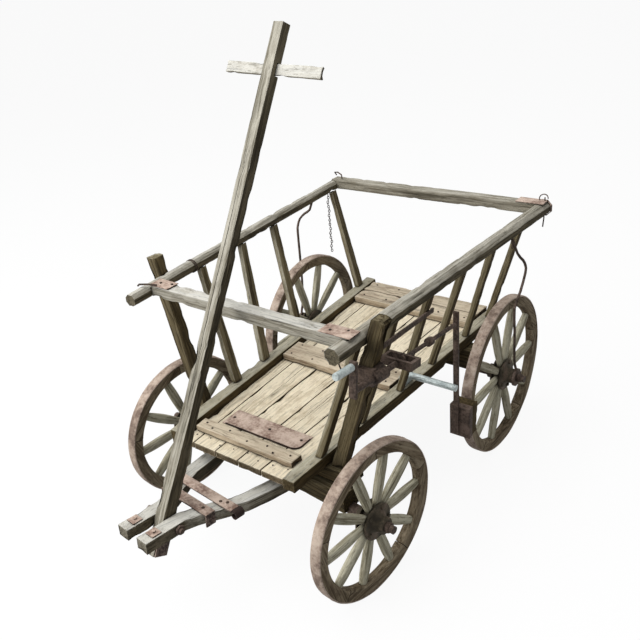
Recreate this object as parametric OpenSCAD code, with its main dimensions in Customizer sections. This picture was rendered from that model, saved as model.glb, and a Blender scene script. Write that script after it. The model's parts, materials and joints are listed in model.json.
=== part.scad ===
// Weathered four-wheeled handcart with ladder sides, a steered front axle and a drawbar pole.
// The front is -Y, the cart's left side is +X, up is +Z, and the ground is z = 0.
// Most modules work from the kingpin, with y measured rearwards from it.

/* [Wheels] */
// Radius of the front wheels over the iron tyre
front_wheel_r = 225; // [185:1:270]
// Radius of the rear wheels over the iron tyre
rear_wheel_r = 260; // [215:1:312]
// Distance from the kingpin back to the rear axle
wheelbase = 716; // [590:1:860]
// Half the track of the front wheels, to the middle of the rim
front_half_track = 370.5; // [362:0.5:446]
// Half the track of the rear wheels, to the middle of the rim
rear_half_track = 380.5; // [372:0.5:458]
// Width of the iron tyre
tyre_w = 33; // [26:1:40]
// Thickness of the iron tyre
tyre_t = 5; // [3:0.5:8]
// Width of the wooden felloes
rim_w = 30; // [26:1:33]
// Depth of the wooden felloes
rim_t = 33; // [26:1:42]
// Number of spokes in a wheel
spoke_count = 10; // [8:1:10]
// Thickness of a spoke
spoke_d = 24; // [18:1:25]

/* [Hubs and axles] */
// Radius of the hub's core, where the spokes end
hub_core_r = 40; // [40:0.5:44]
// Radius of the hub's two iron flanges
hub_flange_r = 52; // [48:1:60]
// Thickness of an iron flange
hub_flange_t = 5; // [3:0.5:8]
// Radius of the hub's nose and tail
hub_nose_r = 23; // [18:1:28]
// How far the nose reaches out from the middle of the rim
hub_nose_out = 45; // [36:1:60]
// How far the tail reaches in from the middle of the rim
hub_tail_in = 42; // [30:1:60]
// Radius of the axle's round ends
spindle_r = 11; // [8:0.1:14]
// Gap between the axle's round end and the hub's bore, on the radius
running_gap = 0.06; // [0.02:0.01:0.1]
// Side of the square iron axle
axle_bar = 24; // [18:1:28]
// Radius of the axle nut
axle_nut_r = 15; // [13:0.5:20]
// Thickness of the axle nut
axle_nut_t = 12; // [8:1:16]
// Length of the axle end past its nut
axle_tip = 12; // [6:1:20]

/* [Bed] */
// Height of the bed's rails above the front axle
bed_over_axle = 106; // [90:1:120]
// Width of a bottom rail
bottom_rail_w = 40; // [32:1:50]
// Height of the right bottom rail
right_rail_h = 46; // [36:1:56]
// Height of the left bottom rail, which has lost its top edge
left_rail_h = 37; // [30:1:56]
// Where the bottom rails start, ahead of the kingpin
bottom_rail_front = 160; // [130:1:180]
// Where the bottom rails end, behind the kingpin
bottom_rail_rear = 945; // [900:1:1000]
// Half the spacing of the bottom rails at their front ends
bottom_half_front = 199; // [185:1:215]
// Half the spacing of the bottom rails at their rear ends
bottom_half_rear = 257; // [240:1:265]
// Number of floor planks
plank_count = 5; // [3:1:8]
// Width of the rightmost plank as a share of the others' width
narrow_plank = 0.45; // [0.3:0.05:1]
// Thickness of a floor plank
plank_t = 22; // [16:1:28]
// Gap between floor planks
plank_gap = 2; // [1:0.5:6]
// Where the floor starts, ahead of the kingpin
floor_front = 150; // [120:1:170]
// Where the floor ends, behind the kingpin
floor_rear = 940; // [900:1:990]
// Width of the front batten
front_batten_w = 44; // [34:1:54]
// Thickness of the front batten
front_batten_t = 19; // [12:1:24]
// Distance of the front batten ahead of the kingpin
front_batten_y = 82; // [60:1:100]
// Width of the middle batten
middle_batten_w = 92; // [60:1:110]
// Thickness of the middle batten
middle_batten_t = 22; // [14:1:28]
// Distance of the middle batten behind the kingpin
middle_batten_y = 372; // [330:1:420]
// Width of a rear batten
rear_batten_w = 70; // [50:1:78]
// Thickness of a rear batten
rear_batten_t = 24; // [14:1:28]
// Distance of the first rear batten behind the kingpin
rear_batten_y = 815; // [790:1:830]
// Gap between a batten's end and the side of the floor
batten_end_gap = 2; // [1:1:20]
// Length of the sheet-iron floor plate across the cart
floor_plate_l = 272; // [150:1:300]
// Width of the floor plate along the cart
floor_plate_w = 72; // [60:1:120]
// Thickness of the floor plate
floor_plate_t = 2; // [1:0.5:4]
// Radius of the floor plate's round corner
floor_plate_r = 24; // [4:1:30]
// Distance of the floor plate's middle to the left of the cart's middle
floor_plate_x = 0; // [0:1:50]
// Gap between the front batten and the floor plate
floor_plate_gap = 22; // [1:1:40]

/* [Ladder sides] */
// Height of the top rails' middle above the bottom rails' undersides
side_h = 408; // [335:1:492]
// Thickness of the left top rail, across its flats
top_rail_d = 45; // [37:0.5:54]
// Thickness of the right top rail, across its flats
right_top_rail_d = 36; // [30:0.5:45]
// How much lower the right top rail lies than the left one
right_top_drop = 8; // [0:1:12]
// Where the top rails start, ahead of the kingpin
top_rail_front = 113; // [95:1:150]
// Where the top rails end, behind the kingpin
top_rail_rear = 980; // [940:1:1020]
// Half the spacing of the top rails at their front ends
top_half_front = 336; // [300:1:350]
// Half the spacing of the top rails at their rear ends
top_half_rear = 395; // [370:1:410]
// Width of a rung's head along the cart
rung_w = 26; // [18:1:30]
// Width of the right side's rungs at their feet
rung_foot_w = 34; // [18:1:40]
// Thickness of a rung across the cart
rung_t = 20; // [14:1:24]
// Width of the first rung, which is a stout bent piece
front_rung_w = 30; // [22:1:34]
// Thickness of a corner post
post_t = 36; // [30:0.5:50]
// How far a corner post stands over the top rail's middle
post_over_rail = 58; // [40:1:80]
// Slope of a corner post's weathered top, in degrees
post_top_slope = 22; // [0:1:35]
// How deep the top rail is let into the corner post
post_notch = 4; // [2:0.5:8]
// Gap between a corner post's foot and the bottom rail
post_foot_gap = 5; // [2:0.5:10]
// Distance of the left post's foot behind the kingpin
left_foot_y = 0; // [-5:1:10]
// Distance of the left post's head behind the kingpin
left_head_y = 8; // [-10:1:20]
// Distance of the right post's foot behind the kingpin
right_foot_y = 12; // [-5:1:14]
// Distance of the right post's head behind the kingpin, knocked back over the years
right_head_y = 40; // [0:1:60]
// Height of a crossbar
crossbar_h = 36; // [28:1:42]
// Depth of a crossbar along the cart
crossbar_w = 40; // [30:1:46]
// How far a crossbar reaches out past the middle of each top rail
crossbar_over = 6; // [0:1:12]
// How far a crossbar stands over the top rails
crossbar_proud = 2; // [0:0.5:6]
// Distance of the front crossbar's left end ahead of the kingpin
front_crossbar_y = 42; // [40:1:60]
// How much further back the front crossbar's right end is
front_crossbar_skew = 18; // [0:1:20]
// How much lower the front crossbar's right end is
front_crossbar_drop = 12; // [4:1:16]
// How deep the front crossbar's right end is let into the rail's side
front_crossbar_let = 5; // [3:0.5:8]
// Distance of the rear crossbar behind the kingpin
rear_crossbar_y = 950; // [920:1:960]
// How much lower the rear crossbar's right end is
rear_crossbar_drop = 10; // [4:1:14]
// Thickness of the iron corner straps
strap_t = 3; // [2:0.5:5]
// Length of a corner plate along its crossbar
corner_plate_l = 92; // [70:1:110]
// Width of a corner plate
corner_plate_w = 44; // [38:1:52]
// How far a corner plate reaches past the end of its crossbar
corner_plate_over = 10; // [0:1:14]

/* [Running gear] */
// Depth of the axle beds and the bolster along the cart
beam_w = 60; // [50:1:76]
// Half the length of the front axle bed
axle_bed_half = 300; // [270:1:305]
// Half the length of the bolster over the front axle
bolster_half = 300; // [295:1:310]
// Half the length of the rear axle bed
rear_bed_half = 296; // [285:1:310]
// Height of the bolster
bolster_h = 40.7; // [34:0.1:44]
// Width of the reach under the floor
reach_w = 38; // [28:1:60]
// Height of the reach
reach_h = 34; // [24:1:40]
// Radius of the kingpin
kingpin_r = 8; // [6:0.5:9]
// Radius of the nut under the kingpin
kingpin_nut_r = 14; // [12:0.5:18]
// Thickness of the nut under the kingpin
kingpin_nut_t = 9; // [6:0.5:12]
// Radius of the turning plate
turning_plate_r = 62; // [45:1:75]
// Thickness of the turning plate
turning_plate_t = 6; // [5:0.5:8]
// Gap between the turning plate and the bolster
turning_gap = 0.3; // [0.2:0.1:0.5]
// Drop of the fork's arms below the top of the front axle bed
arm_drop = 4; // [2:0.5:8]
// Angle of the front axle as it stands, about +Z
steer_rest = -6; // [-15:1:15]

/* [Fork and drawbar] */
// Height of a fork arm
arm_h = 33; // [28:1:38]
// Width of a fork arm at the axle
arm_w = 42; // [34:1:48]
// Width of a fork arm at its front end
arm_tip_w = 40; // [32:1:46]
// Half the spacing of the fork arms at the axle
arm_half_rear = 124; // [110:1:160]
// Where the fork arms end, ahead of the kingpin
fork_front = 475; // [420:1:520]
// Where the fork arms end, behind the kingpin
fork_rear = 85; // [60:1:110]
// Rise of the fork towards its front, in degrees
fork_tilt = 4.7; // [0:0.1:6]
// Distance of the drawbar's pin ahead of the kingpin
pin_reach = 376; // [366:1:410]
// Radius of the drawbar's pin
pin_r = 7; // [5:0.5:9]
// Distance of the fork's front strap ahead of the kingpin
front_strap_y = 300; // [290:1:305]
// Distance of the fork's rear strap ahead of the kingpin
rear_strap_y = 248; // [200:1:252]
// Width of the fork's straps
fork_strap_w = 30; // [20:1:34]
// Thickness of the fork's straps
fork_strap_t = 5; // [3:0.5:7]
// Side of the square washers on the arms' front ends
washer_w = 28; // [20:1:32]
// Thickness of the square washers
washer_t = 3; // [2:0.5:5]
// Distance of the washers behind the arms' front ends
washer_y = 38; // [24:1:60]
// Width of the drawbar pole at its foot
pole_w = 35; // [29:0.5:42]
// Width of the drawbar pole at its top
pole_top_w = 33; // [22:1:35]
// Depth of the drawbar pole at its foot
pole_d = 46; // [34:1:48]
// Depth of the drawbar pole above its swelling
pole_top_d = 27; // [22:1:34]
// Height above the pin up to which the pole is swollen
pole_swell = 300; // [150:10:500]
// Gap between the pole and each fork arm
pole_gap = 1; // [0.5:0.1:3]
// Length of the pole above its pin
pole_up = 1252; // [1050:1:1400]
// Length of the pole below its pin
pole_down = 92; // [60:1:95]
// Lean of the pole back from upright, as it stands
pole_lean = 28.2; // [20:0.1:30]
// Distance of the handle above the pin, along the pole
handle_up = 1143; // [950:1:1200]
// Length of the handle
handle_l = 322; // [260:1:400]
// Height of the handle board along the pole
handle_h = 30; // [24:1:44]
// Thickness of the handle board
handle_t = 13; // [9:0.5:16]

/* [Brake] */
// Distance of the brake's screw line outside the corner post
screw_out = 18; // [16:0.5:26]
// Height of the brake's screw at the corner post
brake_z = 646; // [600:1:680]
// Fall of the brake's screw and rod towards the rear, in degrees
brake_fall = 7.3; // [0:0.1:10]
// Radius of the brake's screw
screw_r = 8; // [6:0.5:10]
// Radius of the brake's rod, behind its screw
rod_r = 6; // [4:0.5:8]
// Length of the crank
crank_l = 64; // [40:1:80]
// Width of the crank
crank_w = 20; // [14:1:24]
// Thickness of the crank
crank_t = 8; // [5:1:12]
// Radius of the crank's handgrip
grip_r = 9; // [7:0.5:14]
// Length of the crank's handgrip
grip_l = 66; // [50:1:100]
// Distance of the crank ahead of the kingpin
crank_y = 104; // [80:1:120]
// Height of the screw's bracket on the post
bracket_h = 44; // [36:1:60]
// Thickness of the bracket's iron round the post and the screw
bracket_wall = 7; // [5:0.5:10]
// Distance of the brake's yoke behind the kingpin
yoke_y = 100; // [85:1:120]
// Length of the brake's yoke across the cart
yoke_l = 88; // [60:1:90]
// Depth of the yoke along the screw
yoke_d = 46; // [36:1:60]
// Height of the yoke
yoke_h = 22; // [20:1:32]
// Thickness of the yoke's bars
yoke_wall = 9; // [6:0.5:12]
// Distance of the rod's joining sleeve along the screw line
sleeve_y = 236; // [200:1:330]
// Radius of the rod's joining sleeve
sleeve_r = 12; // [9:0.5:16]
// Length of the rod's joining sleeve
sleeve_l = 18; // [12:1:40]
// Height of the guide bar's front end above the screw's height at the post
guide_rise = 44; // [20:1:50]
// Width of the guide bar
guide_w = 13; // [10:1:24]
// Thickness of the guide bar
guide_t = 6; // [4:0.5:8]
// Width of the brake lever
lever_w = 16; // [12:1:30]
// Thickness of the brake lever
lever_t = 8; // [5:0.5:12]
// How far the lever reaches up past the rod
lever_over = 38; // [16:1:50]
// Height of the lever's pivot over the bottom rails' undersides
pivot_over_bed = 66; // [60:1:80]
// Radius of the lever's pivot pipe
pipe_r = 10; // [8:0.5:12]
// Width of the brake's block
block_w = 64; // [44:1:70]
// Depth of the block along the cart
block_d = 34; // [24:1:40]
// Height of the block
block_h = 104; // [60:1:120]
// Height of the block's middle over the rear axle
block_rise = 12; // [0:1:20]
// Depth of the iron shoe between the block and the lever
shoe_d = 20; // [12:1:30]
// Gap between the brake's block and the tyre
brake_gap = 6; // [5:0.5:12]

/* [Rear stays] */
// Thickness of a stay's rod
stay_d = 9; // [6:0.5:12]
// Radius of the stay's eye on the axle end
stay_eye_r = 29; // [24:1:34]
// Thickness of the stay's eye
stay_eye_t = 8; // [6:0.5:10]

/* [Hidden] */
$fn = 64;
// Points of a stay from the axle end up to the top rail: [out from the eye, back from the
// axle, over the axle]. The left one has been bent forwards, the right one is as it was made.
left_stay_route = [[0, -8, 40], [0, -20, 75], [0, -26, 180], [0, -33, 262], [0, 6, 300],
                   [-1, 42, 348], [-4, 48, 368], [-9, 40, 388], [-20, 22, 415], [-32, 34, 440]];
right_stay_route = [[0, 4, 40], [0, 16, 75], [0, 24, 160], [0, 26, 250], [-1, 26, 345],
                    [-3, 28, 372], [-8, 38, 396], [-20, 52, 412], [-34, 66, 424], [-40, 70, 440]];
// Distances of the rungs' heads and feet behind the kingpin, as they have worked loose. The
// left side's first one is a bent piece ahead of the post.
left_rung_heads = [-12, 147, 311, 481, 647, 816];
left_rung_feet = [-34, 147, 338, 514, 719, 876];
right_rung_heads = [175, 374, 543, 914];
right_rung_feet = [125, 264, 460, 861];

// Heights
bed_z = front_wheel_r + bed_over_axle;
floor_z = bed_z + plank_t;
rail_z = bed_z + side_h;
stay_stretch = (rail_z - rear_wheel_r) / 479;
bolster_z = bed_z - bolster_h;
front_bed_top = bolster_z - turning_gap - turning_plate_t;
// The rear of the whole cart and the front of the fork set the origin between them
rear_end = top_rail_rear + strap_t;
kingpin_y = (fork_front - rear_end) / 2;
crossbar_top = rail_z + top_rail_d / 2 + crossbar_proud;
// The middles of the front crossbar's two ends. The right one is let into the rail's side,
// the left one lies over the rail.
front_bar_right = [-top_x(-front_crossbar_y) + right_top_rail_d / 2 - front_crossbar_let,
                   front_crossbar_skew - front_crossbar_y,
                   crossbar_top - crossbar_h / 2 - front_crossbar_drop];
front_bar_left = [top_x(-front_crossbar_y) + crossbar_over, -front_crossbar_y,
                  crossbar_top - crossbar_h / 2];
front_bar_l = norm(front_bar_left - front_bar_right);
// The rear crossbar lies over both rails
rear_bar_half = top_x(rear_crossbar_y) + crossbar_over;
rear_bar_right = [-rear_bar_half, rear_crossbar_y,
                  crossbar_top - crossbar_h / 2 - rear_crossbar_drop];
rear_bar_left = [rear_bar_half, rear_crossbar_y, crossbar_top - crossbar_h / 2];
rear_bar_l = norm(rear_bar_left - rear_bar_right);
// The block's front face, and its inner side just inside the tyre's
block_front = wheelbase - rear_wheel_r - brake_gap - block_d;
block_x = rear_half_track - tyre_w / 2 - 2;
block_foot = rear_wheel_r + block_rise - block_h / 2;
lever_y = block_front - shoe_d - lever_t / 2;
// Hub
flange_in = spoke_d / 2 + 0.5;
hub_gap = 0.5;
// Room round a pin that doesn't turn
pin_gap = 0.2;
spindle_end_gap = 1;
// Length of the iron cheeks on the pole's foot
cheek_l = pole_down - 3 * pin_r - strap_t;
// Octagon across its flats
flat_to_corner = 1 / cos(22.5);
overlap = 1;

// ---- Places ----

// From the kingpin's foot on the ground
module from_kingpin()
    translate([0, kingpin_y, 0]) children();

// Turned with the front axle
module steered()
    from_kingpin() rotate([0, 0, steer_rest]) children();

// The fork's own plane, at half the height of its arms
module in_fork()
    steered()
    translate([0, 0, front_bed_top - arm_drop - arm_h / 2])
    rotate([-fork_tilt, 0, 0]) children();

// The drawbar's own axis, from its pin up
module in_pole()
    in_fork()
    translate([0, -pin_reach, 0])
    rotate([fork_tilt - pole_lean, 0, 0]) children();

// The brake's screw line, with y along it
module in_brake_line()
    from_kingpin()
    translate([brake_x(), 0, brake_z])
    rotate([-brake_fall, 0, 0]) children();

// side is 1 for the cart's left and -1 for its right
module on_side(side)
    mirror([side < 0 ? 1 : 0, 0, 0]) children();

// ---- Shapes ----

// Half the spacing of the rails at y
function along(y, y0, y1, a, b) = a + (b - a) * (y - y0) / (y1 - y0);
function bottom_x(y) =
    along(y, -bottom_rail_front, bottom_rail_rear, bottom_half_front, bottom_half_rear);
function top_x(y) = along(y, -top_rail_front, top_rail_rear, top_half_front, top_half_rear);

// Sizes that differ between the two sides
function bottom_h(side) = side > 0 ? left_rail_h : right_rail_h;
function top_d(side) = side > 0 ? top_rail_d : right_top_rail_d;
function top_z(side) = side > 0 ? rail_z : rail_z - right_top_drop;

// A child drawn along +Z from the origin is laid from p towards q
module aim(p, q) {
    d = q - p;
    translate(p)
    rotate([0, acos(d[2] / norm(d)), atan2(d[1], d[0])]) children();
}

// A straight bar from p to q, w wide across and t thick, with its width kept level
module bar(p, q, w, t)
    aim(p, q)
    translate([-t / 2, -w / 2, 0]) cube([t, w, norm(q - p)]);

// A child that stands on the origin is set on p and leans towards q, without a twist
module lean_to(p, q) {
    d = q - p;
    translate(p)
    rotate([-asin(d[1] / norm(d)), atan2(d[0], d[2]), 0]) children();
}

// A child drawn in x and y is stood up as y and z, and made t thick along X
module upright_board(t)
    rotate([90, 0, 90]) linear_extrude(t, center = true) children();

// A round bar along X
module x_rod(r, x0, x1)
    translate([x0, 0, 0]) rotate([0, 90, 0]) cylinder(r = r, h = x1 - x0);

// A square bar along X, w by h in section, centred
module x_bar(w, h, x0, x1)
    translate([x0, -w / 2, -h / 2]) cube([x1 - x0, w, h]);

// A bent rod through points, as a tube with a ring at each point of a smooth curve
function curve_point(p, i, t) =
    let (a = p[max(i - 1, 0)], b = p[i], c = p[i + 1], d = p[min(i + 2, len(p) - 1)])
    0.5 * (2 * b + (c - a) * t + (2 * a - 5 * b + 4 * c - d) * t * t
           + (3 * b - a - 3 * c + d) * t * t * t);
function smooth(p, steps) =
    concat([for (i = [0 : len(p) - 2]) for (s = [0 : steps - 1]) curve_point(p, i, s / steps)],
           [p[len(p) - 1]]);
function unit(v) = v / norm(v);
function ring(c, dir, r, sides) =
    let (u = unit(cross(dir, [0, 1, 0.02])), v = cross(unit(dir), u))
    [for (k = [0 : sides - 1]) c + r * (cos(360 * k / sides) * u + sin(360 * k / sides) * v)];
module bent_rod(points, d, sides = 8, steps = 2) {
    p = smooth(points, steps);
    n = len(p);
    rings = [for (i = [0 : n - 1])
        each ring(p[i], p[min(i + 1, n - 1)] - p[max(i - 1, 0)], d / 2, sides)];
    walls = [for (i = [0 : n - 2]) for (k = [0 : sides - 1])
        let (a = i * sides + k, b = i * sides + (k + 1) % sides)
        each [[a, a + sides, b], [b, a + sides, b + sides]]];
    start = [[for (k = [0 : sides - 1]) k]];
    finish = [[for (k = [sides - 1 : -1 : 0]) (n - 1) * sides + k]];
    polyhedron(points = rings, faces = concat(start, walls, finish));
}

// ---- Bed ----

module bottom_rail(side)
    color("#8f8674")
    from_kingpin() on_side(side)
    bottom_rail_bar(side);

module bottom_rail_bar(side)
    translate([0, 0, bed_z])
    linear_extrude(bottom_h(side))
    polygon([[bottom_half_front - bottom_rail_w / 2, -bottom_rail_front],
             [bottom_half_front + bottom_rail_w / 2, -bottom_rail_front],
             [bottom_half_rear + bottom_rail_w / 2, bottom_rail_rear],
             [bottom_half_rear - bottom_rail_w / 2, bottom_rail_rear]]);

// Half the width of the floor at y, with a thin joint to each rail
function floor_half(y) = bottom_x(y) - bottom_rail_w / 2 - 0.5;

module floor_planks() {
    step = 2 / (plank_count - 1 + narrow_plank);
    g = plank_gap / 2;
    color("#b7a57d")
    from_kingpin()
    for (i = [0 : plank_count - 1]) {
        b = 1 - (plank_count - 1 - i) * step;
        a = i == 0 ? -1 : b - step;
        ga = i == 0 ? 0 : g;
        gb = i == plank_count - 1 ? 0 : g;
        translate([0, 0, bed_z])
        linear_extrude(plank_t)
        polygon([[a * floor_half(-floor_front) + ga, -floor_front],
                 [b * floor_half(-floor_front) - gb, -floor_front],
                 [b * floor_half(floor_rear) - gb, floor_rear],
                 [a * floor_half(floor_rear) + ga, floor_rear]]);
    }
}

// A board w wide and t thick across the floor at y, with a gap at each end
module floor_board(y, w, t, gap_right = batten_end_gap, gap_left = batten_end_gap) {
    y0 = y - w / 2;
    y1 = y + w / 2;
    translate([0, 0, floor_z])
    linear_extrude(t)
    polygon([[-floor_half(y0) + gap_right, y0], [floor_half(y0) - gap_left, y0],
             [floor_half(y1) - gap_left, y1], [-floor_half(y1) + gap_right, y1]]);
}

module front_batten()
    color("#c4b08f") from_kingpin()
    floor_board(-front_batten_y, front_batten_w, front_batten_t, 3 * batten_end_gap,
                6 * batten_end_gap);

module middle_batten()
    color("#b5a48a") from_kingpin()
    floor_board(middle_batten_y, middle_batten_w, middle_batten_t);

module rear_battens()
    color("#b5a48a") from_kingpin()
    for (i = [0, 1])
        floor_board(rear_batten_y + i * (rear_batten_w + plank_gap), rear_batten_w, rear_batten_t);

// Sheet iron right behind the front batten, with one round corner
module floor_plate() {
    r = floor_plate_r;
    color("#9a6a55")
    from_kingpin()
    translate([floor_plate_x - floor_plate_l / 2,
               front_batten_w / 2 - front_batten_y + floor_plate_gap, floor_z])
    linear_extrude(floor_plate_t)
    union() {
        translate([0, r]) square([floor_plate_l, floor_plate_w - r]);
        square([floor_plate_l - r, floor_plate_w]);
        translate([floor_plate_l - r, r]) circle(r);
    }
}

// ---- Ladder sides ----

// Octagonal rail, its flats up, down and to the sides
module top_rail_bar(side, extra = 0, from = -top_rail_front, to = top_rail_rear) {
    p = [top_x(from), from, top_z(side)];
    q = [top_x(to), to, top_z(side)];
    aim(p, q)
    rotate([0, 0, 22.5])
    cylinder(d = (top_d(side) + 2 * extra) * flat_to_corner, h = norm(q - p), $fn = 8);
}

module top_rail(side)
    color("#a09a88")
    from_kingpin()
    difference() {
        on_side(side) top_rail_bar(side);
        front_crossbar_bar();
        rear_crossbar_bar();
    }

function rung_foot(side, i) =
    let (y = side > 0 ? left_rung_feet[i] : right_rung_feet[i])
    [bottom_x(y), y, bed_z + bottom_h(side) / 2];
function rung_head(side, i) =
    let (y = side > 0 ? left_rung_heads[i] : right_rung_heads[i])
    [top_x(y), y, top_z(side)];

module rung(side, i) {
    p = rung_foot(side, i);
    q = rung_head(side, i);
    foot_w = side < 0 ? rung_foot_w : i == 0 ? front_rung_w : rung_w;
    head_w = side > 0 && i == 0 ? front_rung_w : rung_w;
    lean_to(p, q)
    upright_board(rung_t)
    polygon([[-foot_w / 2, 0], [foot_w / 2, 0], [head_w / 2, norm(q - p)],
             [-head_w / 2, norm(q - p)]]);
}

module rungs(side)
    color("#7d7360")
    from_kingpin()
    for (i = [0 : len(side > 0 ? left_rung_feet : right_rung_feet) - 1])
        difference() {
            on_side(side) rung(side, i);
            on_side(side) bottom_rail_bar(side);
            on_side(side) top_rail_bar(side);
            if (side > 0 && i == 0) front_crossbar_bar();
        }

// A post leans out with its side, with the top rail let into its inner face
function post_x(side, z) =
    let (foot = bottom_x(0) + bottom_rail_w / 2 + post_foot_gap + post_t / 2,
         head = top_x(0) + top_d(side) / 2 - post_notch + post_t / 2)
    foot + (head - foot) * (z - bed_z) / side_h;
function post_y(side, z) =
    side > 0 ? along(z, bed_z, rail_z, left_foot_y, left_head_y)
             : along(z, bed_z, rail_z, right_foot_y, right_head_y);
function post_point(side, z) = [post_x(side, z), post_y(side, z), z];

module corner_post_bar(side) {
    foot = post_point(side, bed_z - post_t / 2);
    head = post_point(side, rail_z + post_over_rail);
    lean = atan2(head[0] - foot[0], head[2] - foot[2]);
    difference() {
        lean_to(foot, head)
        translate([-post_t / 2, -post_t / 2, 0]) cube([post_t, post_t, norm(head - foot)]);
        // Weathered top, cut back on its inner edge
        translate(head)
        rotate([0, lean - post_top_slope, 0])
        translate([-2 * post_t, -post_t, 0]) cube([4 * post_t, 2 * post_t, post_t]);
    }
}

module corner_post(side)
    color("#6d6350")
    from_kingpin() on_side(side)
    difference() {
        corner_post_bar(side);
        top_rail_bar(side);
        linear_extrude(bed_z) square([3 * bolster_half, 6 * post_t], center = true);
    }

// ---- Crossbars ----

module front_crossbar_bar()
    bar(front_bar_right, front_bar_left, crossbar_w, crossbar_h);

module rear_crossbar_bar()
    bar(rear_bar_right, rear_bar_left, crossbar_w, crossbar_h);

module front_crossbar()
    color("#a7a496") from_kingpin() front_crossbar_bar();

module rear_crossbar()
    color("#a09a88") from_kingpin() rear_crossbar_bar();

// A plate on each end of the front crossbar, the right one a shorter piece
module front_corner_plates()
    color("#8d5f50") from_kingpin()
    aim(front_bar_right, front_bar_left)
    translate([-crossbar_h / 2 - strap_t, -corner_plate_w / 2, 0]) {
        cube([strap_t, corner_plate_w, corner_plate_l * 0.8]);
        translate([0, 0, front_bar_l + corner_plate_over - corner_plate_l])
            cube([strap_t, corner_plate_w, corner_plate_l]);
    }

// On the left only: a band round the end of the top rail and a plate on the crossbar
module rear_corner_strap()
    color("#7a5a4c") from_kingpin() {
        aim(rear_bar_right, rear_bar_left)
            translate([-crossbar_h / 2 - strap_t, -corner_plate_w / 2,
                       rear_bar_l + corner_plate_over - corner_plate_l])
            cube([strap_t, corner_plate_w, corner_plate_l]);
        difference() {
            top_rail_bar(1, strap_t, rear_crossbar_y + crossbar_w / 2 + pin_gap,
                         top_rail_rear - 1);
            top_rail_bar(1);
        }
    }

// ---- Running gear ----

module bolster_bar()
    translate([-bolster_half, -beam_w / 2, bolster_z])
    cube([2 * bolster_half, beam_w, bolster_h]);

module bolster()
    color("#5f5647")
    from_kingpin()
    difference() {
        bolster_bar();
        translate([0, 0, bolster_z - overlap]) cylinder(r = kingpin_r, h = bolster_h + 2 * overlap);
    }

// Pin from the bolster's top down through the axle, with a nut under it
module kingpin() {
    nut_z = front_wheel_r - axle_bar / 2 - kingpin_nut_t - hub_gap;
    foot_z = nut_z - kingpin_r / 2;
    color("#4a403a")
    from_kingpin()
    union() {
        translate([0, 0, foot_z]) cylinder(r = kingpin_r, h = bed_z - foot_z);
        translate([0, 0, nut_z]) cylinder(r = kingpin_nut_r, h = kingpin_nut_t, $fn = 6);
    }
}

module reach()
    color("#5f5647")
    from_kingpin()
    translate([-reach_w / 2, beam_w / 2, bed_z - reach_h])
    cube([reach_w, wheelbase - beam_w, reach_h]);

module rear_axle_bed()
    color("#5f5647")
    from_kingpin()
    translate([0, wheelbase, 0])
    difference() {
        translate([-rear_bed_half, -beam_w / 2, rear_wheel_r])
            cube([2 * rear_bed_half, beam_w, bed_z - rear_wheel_r]);
        translate([0, 0, rear_wheel_r]) x_bar(axle_bar, axle_bar, -rear_bed_half - 1,
                                              rear_bed_half + 1);
    }

// Square bar with round ends, a collar inside each hub, and a nut outside it.
// eye is the room left on the end for a stay.
module axle(half_track, eye = 0) {
    collar = half_track - hub_tail_in - hub_gap;
    nut = half_track + hub_nose_out + hub_gap + eye;
    tip = nut + axle_nut_t + axle_tip;
    square_half = collar - axle_bar / 6;
    x_bar(axle_bar, axle_bar, -square_half, square_half);
    for (side = [1, -1]) on_side(side) {
        x_rod(spindle_r, square_half - overlap, tip);
        x_rod(axle_bar * 0.7, square_half, collar);
        translate([nut, 0, 0]) rotate([0, 90, 0])
            cylinder(r = axle_nut_r, h = axle_nut_t, $fn = 6);
    }
}

module rear_axle()
    color("#3f3733")
    from_kingpin()
    translate([0, wheelbase, rear_wheel_r])
    union() axle(rear_half_track, stay_eye_t + 2 * hub_gap);

// Iron eye on the axle end and a bent rod up to the top rail
module rear_stay(side) {
    eye_x = rear_half_track + hub_nose_out + 2 * hub_gap;
    base = [eye_x + stay_eye_t / 2, wheelbase, rear_wheel_r];
    route = side > 0 ? left_stay_route : right_stay_route;
    last = route[len(route) - 1];
    head_y = wheelbase + last[1];
    foot = base + [0, 0, (spindle_r + stay_eye_r) / 2];
    head = [top_x(head_y), head_y, top_z(side) - top_d(side) / 4];
    color("#5b524d")
    from_kingpin() on_side(side)
    difference() {
        union() {
            bent_rod(concat([foot],
                            [for (p = route) if (p != last)
                                base + [p[0], p[1], p[2] * stay_stretch]],
                            [head]), stay_d);
            translate([0, wheelbase, rear_wheel_r]) x_rod(stay_eye_r, eye_x, eye_x + stay_eye_t);
        }
        top_rail_bar(side);
        translate([0, wheelbase, rear_wheel_r])
            x_rod(spindle_r + pin_gap, eye_x - stay_d, eye_x + stay_eye_t + stay_d);
    }
}

// ---- Brake on the left side ----

function brake_x() = post_x(1, brake_z) + post_t / 2 + screw_out;

// A round bar along Y, from y0 to y1
module y_rod(r, y0, y1)
    translate([0, y0, 0]) rotate([-90, 0, 0]) cylinder(r = r, h = y1 - y0);

// Screw, crank and handgrip
module brake_crank()
    color("#6f6660")
    in_brake_line()
    union() {
        y_rod(screw_r, -crank_y, yoke_y - yoke_d / 2 + yoke_wall - 1);
        translate([-crank_w / 2, -crank_y - crank_t, -crank_w * 0.8])
            cube([crank_w, crank_t, crank_l + crank_w * 1.4]);
        translate([0, 0, crank_l]) y_rod(grip_r, -crank_y - crank_t - grip_l, -crank_y - crank_t);
    }

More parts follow.
